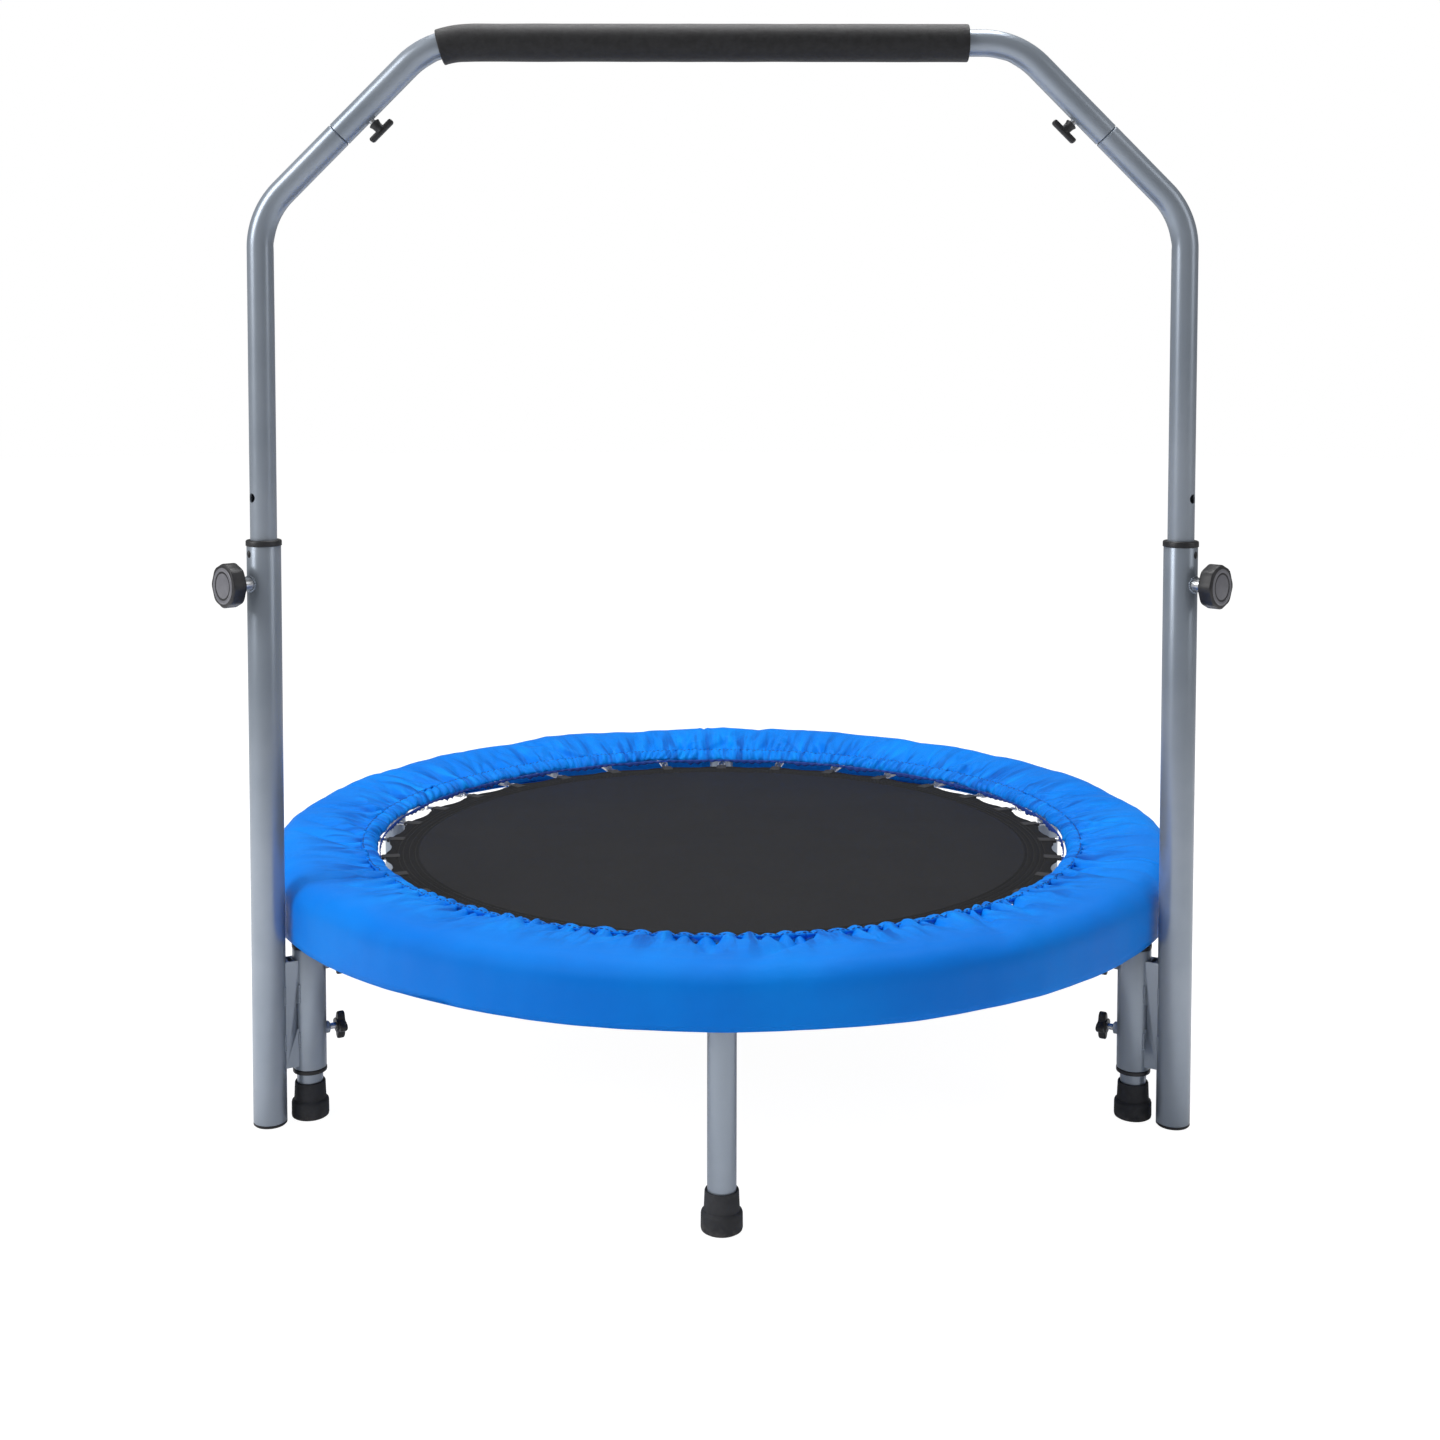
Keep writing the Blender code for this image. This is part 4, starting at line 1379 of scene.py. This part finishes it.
def hem_place(gathers, angle, turn):
    """A point of the puckered hem, from its angle round the mat and round its own section."""
    skew = 0.010 * np.sin(7 * angle + 1.3) + 0.006 * np.sin(19 * angle)
    puff, rise, edge = gathers.puff(angle + skew * np.cos(turn))
    inner = np.clip(-np.cos(turn), 0, 1)
    wave = 0.0012 * np.sin(11 * angle + 0.6) + 0.0009 * np.sin(29 * angle)
    half = HEM_HALF * (1 + 0.05 * (puff - 0.5)) + inner * (0.0014 * edge * puff + 0.4 * wave)
    height = HEM_RISE * (0.22 + 0.90 * puff * rise)
    across = half * np.cos(turn)
    up = height * np.sin(turn)
    radius = HEM_R + across * math.cos(HEM_TILT) - up * math.sin(HEM_TILT)
    level = HEM_Z + across * math.sin(HEM_TILT) + up * math.cos(HEM_TILT) + inner * wave
    return radius, level


def make_hem(gathers, finishes):
    """The elastic channel round the opening."""
    shape = bmesh.new()
    section = shape.verts.layers.float.new("section")
    along = shape.verts.layers.float.new("along")
    start = facing(ACROSS, (HEM_R, 0, HEM_Z))
    bmesh.ops.create_circle(shape, segments=20, radius=HEM_RISE, matrix=start)
    for vert in shape.verts:
        vert[section] = math.atan2(vert.co.z - HEM_Z, vert.co.x - HEM_R)
        vert[along] = HEM_HALF * vert[section]
    turn_fully(shape, HEM_STEPS)
    section = shape.verts.layers.float["section"]
    along = shape.verts.layers.float["along"]
    angle = np.array([math.atan2(vert.co.y, vert.co.x) for vert in shape.verts])
    turn = np.array([vert[section] for vert in shape.verts])
    radius, level = hem_place(gathers, angle, turn)
    for vert, about, far, high in zip(shape.verts, angle, radius, level):
        crinkle = 0.00035 * noise.noise(Vector((vert.co.x * 260, vert.co.y * 260, high * 500)))
        far += crinkle
        vert.co = Vector((far * math.cos(about), far * math.sin(about), high + crinkle))
    bmesh.ops.recalc_face_normals(shape, faces=shape.faces)
    lay_cloth_map(shape, along)
    return piece("cover_hem", shape, finishes["cover"], "base", (), sharp=180)


def make_hem_lining(finishes):
    """The ragged inner edge of the hem, which hangs in small points between the tabs."""
    dice = random.Random(5)
    shape = bmesh.new()
    share = shape.verts.layers.float.new("share")
    along = shape.verts.layers.float.new("along")
    points = [shape.verts.new((LINING_R, 0, LINING_TOP - 0.002 * i)) for i in range(4)]
    for i, point in enumerate(points):
        point[share] = i / 3
        point[along] = 0.002 * i
    for pair in zip(points, points[1:]):
        shape.edges.new(pair)
    turn_fully(shape, HEM_STEPS)
    share = shape.verts.layers.float["share"]
    along = shape.verts.layers.float["along"]
    drops = [dice.uniform(0.45, 1.0) for _ in range(LINING_POINTS)]
    for vert in shape.verts:
        angle = math.atan2(vert.co.y, vert.co.x) % math.tau
        cell = angle / math.tau * LINING_POINTS
        point = 1 - abs(cell % 1 - 0.5) * 1.3
        between = (1 - math.cos(TAB_COUNT * angle)) / 2
        drop = 0.0020 + 0.0052 * between * point * drops[int(cell) % LINING_POINTS]
        ruck = 0.0009 * math.sin(cell * math.tau) * vert[share]
        radius = LINING_R + ruck - 0.0008 * vert[share]
        level = LINING_TOP - drop * vert[share]
        vert.co = Vector((radius * math.cos(angle), radius * math.sin(angle), level))
    lay_cloth_map(shape, along)
    # Its finish is a darker blue than the cover: painted shade for its place under the hem.
    lining = piece("hem_lining", shape, finishes["lining"], "base", (), sharp=180)
    give_wall(lining, 0.0004)
    return lining


def make_hem_stitches(gathers, finishes):
    """The row of stitches that closes the hem's channel."""
    stitch = bmesh.new()
    lie = Matrix.Translation((HEM_R, 0, 0)) @ Matrix.Diagonal((0.0007, 0.0018, 0.0005, 1))
    bmesh.ops.create_uvsphere(stitch, u_segments=6, v_segments=4, radius=1, matrix=lie)
    shape = repeated(stitch, int(math.tau * HEM_R / 0.0050))
    where = np.array([vert.co for vert in shape.verts])
    about = np.arctan2(where[:, 1], where[:, 0])
    radius, level = hem_place(gathers, about, np.full(len(about), 0.42))
    for vert, angle, far, high in zip(shape.verts, about, radius, level):
        far += vert.co.xy.length - HEM_R
        vert.co = Vector((far * math.cos(angle), far * math.sin(angle), high + vert.co.z + 0.0001))
    # The thread is coloured darker than the cloth, which partly paints the shade of the crease along the
    # stitch line.
    return piece("hem_stitches", shape, finishes["stitching"], "base")


# ---------------------------------------------------------------- stage


def make_floor():
    """A plain pale floor, which shows lighter than it shines on the object."""
    shape = bmesh.new()
    bmesh.ops.create_circle(shape, cap_ends=True, segments=64, radius=14)
    mesh = bpy.data.meshes.new("floor")
    shape.to_mesh(mesh)
    shape.free()
    finish = Finish("pale_floor")
    seen = finish.node("ShaderNodeLightPath", out="Is Camera Ray")
    glow = finish.ramp(seen, 0, 1) * 0.85 + 0.12
    finish.surface(
        Base_Color=finish.mixed(seen, (0.86, 0.86, 0.87), (0.25, 0.25, 0.25)),
        Roughness=0.8,
        Specular_IOR_Level=0.0,
        Emission_Color=(1, 1, 1, 1),
        Emission_Strength=glow,
    )
    mesh.materials.append(finish.material)
    floor = bpy.data.objects.new("floor", mesh)
    floor.location.z = -0.0005
    bpy.context.scene.collection.objects.link(floor)


def make_light(name, at, aim, size, power, tint=(1, 1, 1)):
    lamp = bpy.data.lights.new(name, "AREA")
    lamp.shape = "RECTANGLE"
    lamp.size, lamp.size_y = size
    lamp.energy = power
    lamp.color = tint
    light = bpy.data.objects.new(name, lamp)
    light.location = at
    light.rotation_euler = (Vector(aim) - Vector(at)).to_track_quat("-Z", "Y").to_euler()
    bpy.context.scene.collection.objects.link(light)


def make_world():
    world = bpy.data.worlds.new("studio")
    world.use_nodes = True
    nodes, links = world.node_tree.nodes, world.node_tree.links
    seen = nodes.new("ShaderNodeLightPath")
    strength = nodes.new("ShaderNodeMapRange")
    strength.inputs["To Min"].default_value = 0.20
    strength.inputs["To Max"].default_value = 1.0
    links.new(seen.outputs["Is Camera Ray"], strength.inputs["Value"])
    links.new(strength.outputs[0], nodes["Background"].inputs["Strength"])
    nodes["Background"].inputs["Color"].default_value = (1, 1, 1, 1)
    bpy.context.scene.world = world


def make_camera():
    data = bpy.data.cameras.new("camera")
    data.sensor_width = 36
    data.lens = 44.63
    data.shift_y = -0.18
    camera = bpy.data.objects.new("camera", data)
    pitch, yaw, roll = 0.0502, -0.0002, 0.0011
    camera.location = (-0.0019, -1.9433, 0.7263)
    level = math.cos(pitch)
    look = Vector((math.sin(yaw) * level, math.cos(yaw) * level, -math.sin(pitch)))
    tip = Matrix.Rotation(roll, 3, "Z").to_quaternion()
    camera.rotation_mode = "QUATERNION"
    camera.rotation_quaternion = look.to_track_quat("-Z", "Y") @ tip
    bpy.context.scene.collection.objects.link(camera)
    bpy.context.scene.camera = camera


def make_stage():
    make_floor()
    make_world()
    make_light("key", (-2.4, -1.3, 1.9), (0, -0.1, 0.4), (1.1, 1.8), 50)
    make_light("fill", (2.4, -1.2, 1.6), (0, 0, 0.4), (1.0, 1.8), 10)
    make_light("top", (0.0, 0.3, 2.8), (0, 0, 0.2), (1.7, 1.5), 66)
    make_camera()
    bpy.context.scene.view_settings.view_transform = "Standard"


# ---------------------------------------------------------------- the whole object


finishes = make_finishes()
make_stage()
make_rail(finishes)
make_legs(finishes)
for name, side in SIDES.items():
    make_post(name, side, finishes)
    make_height_knob(name, side, finishes)
    make_upright(name, side, finishes)
    make_tee_screw(name, side, finishes)
    make_clamp(name, side, finishes)
make_top_bar(finishes)
make_mat(finishes)
make_springs(finishes)
make_cover(finishes)
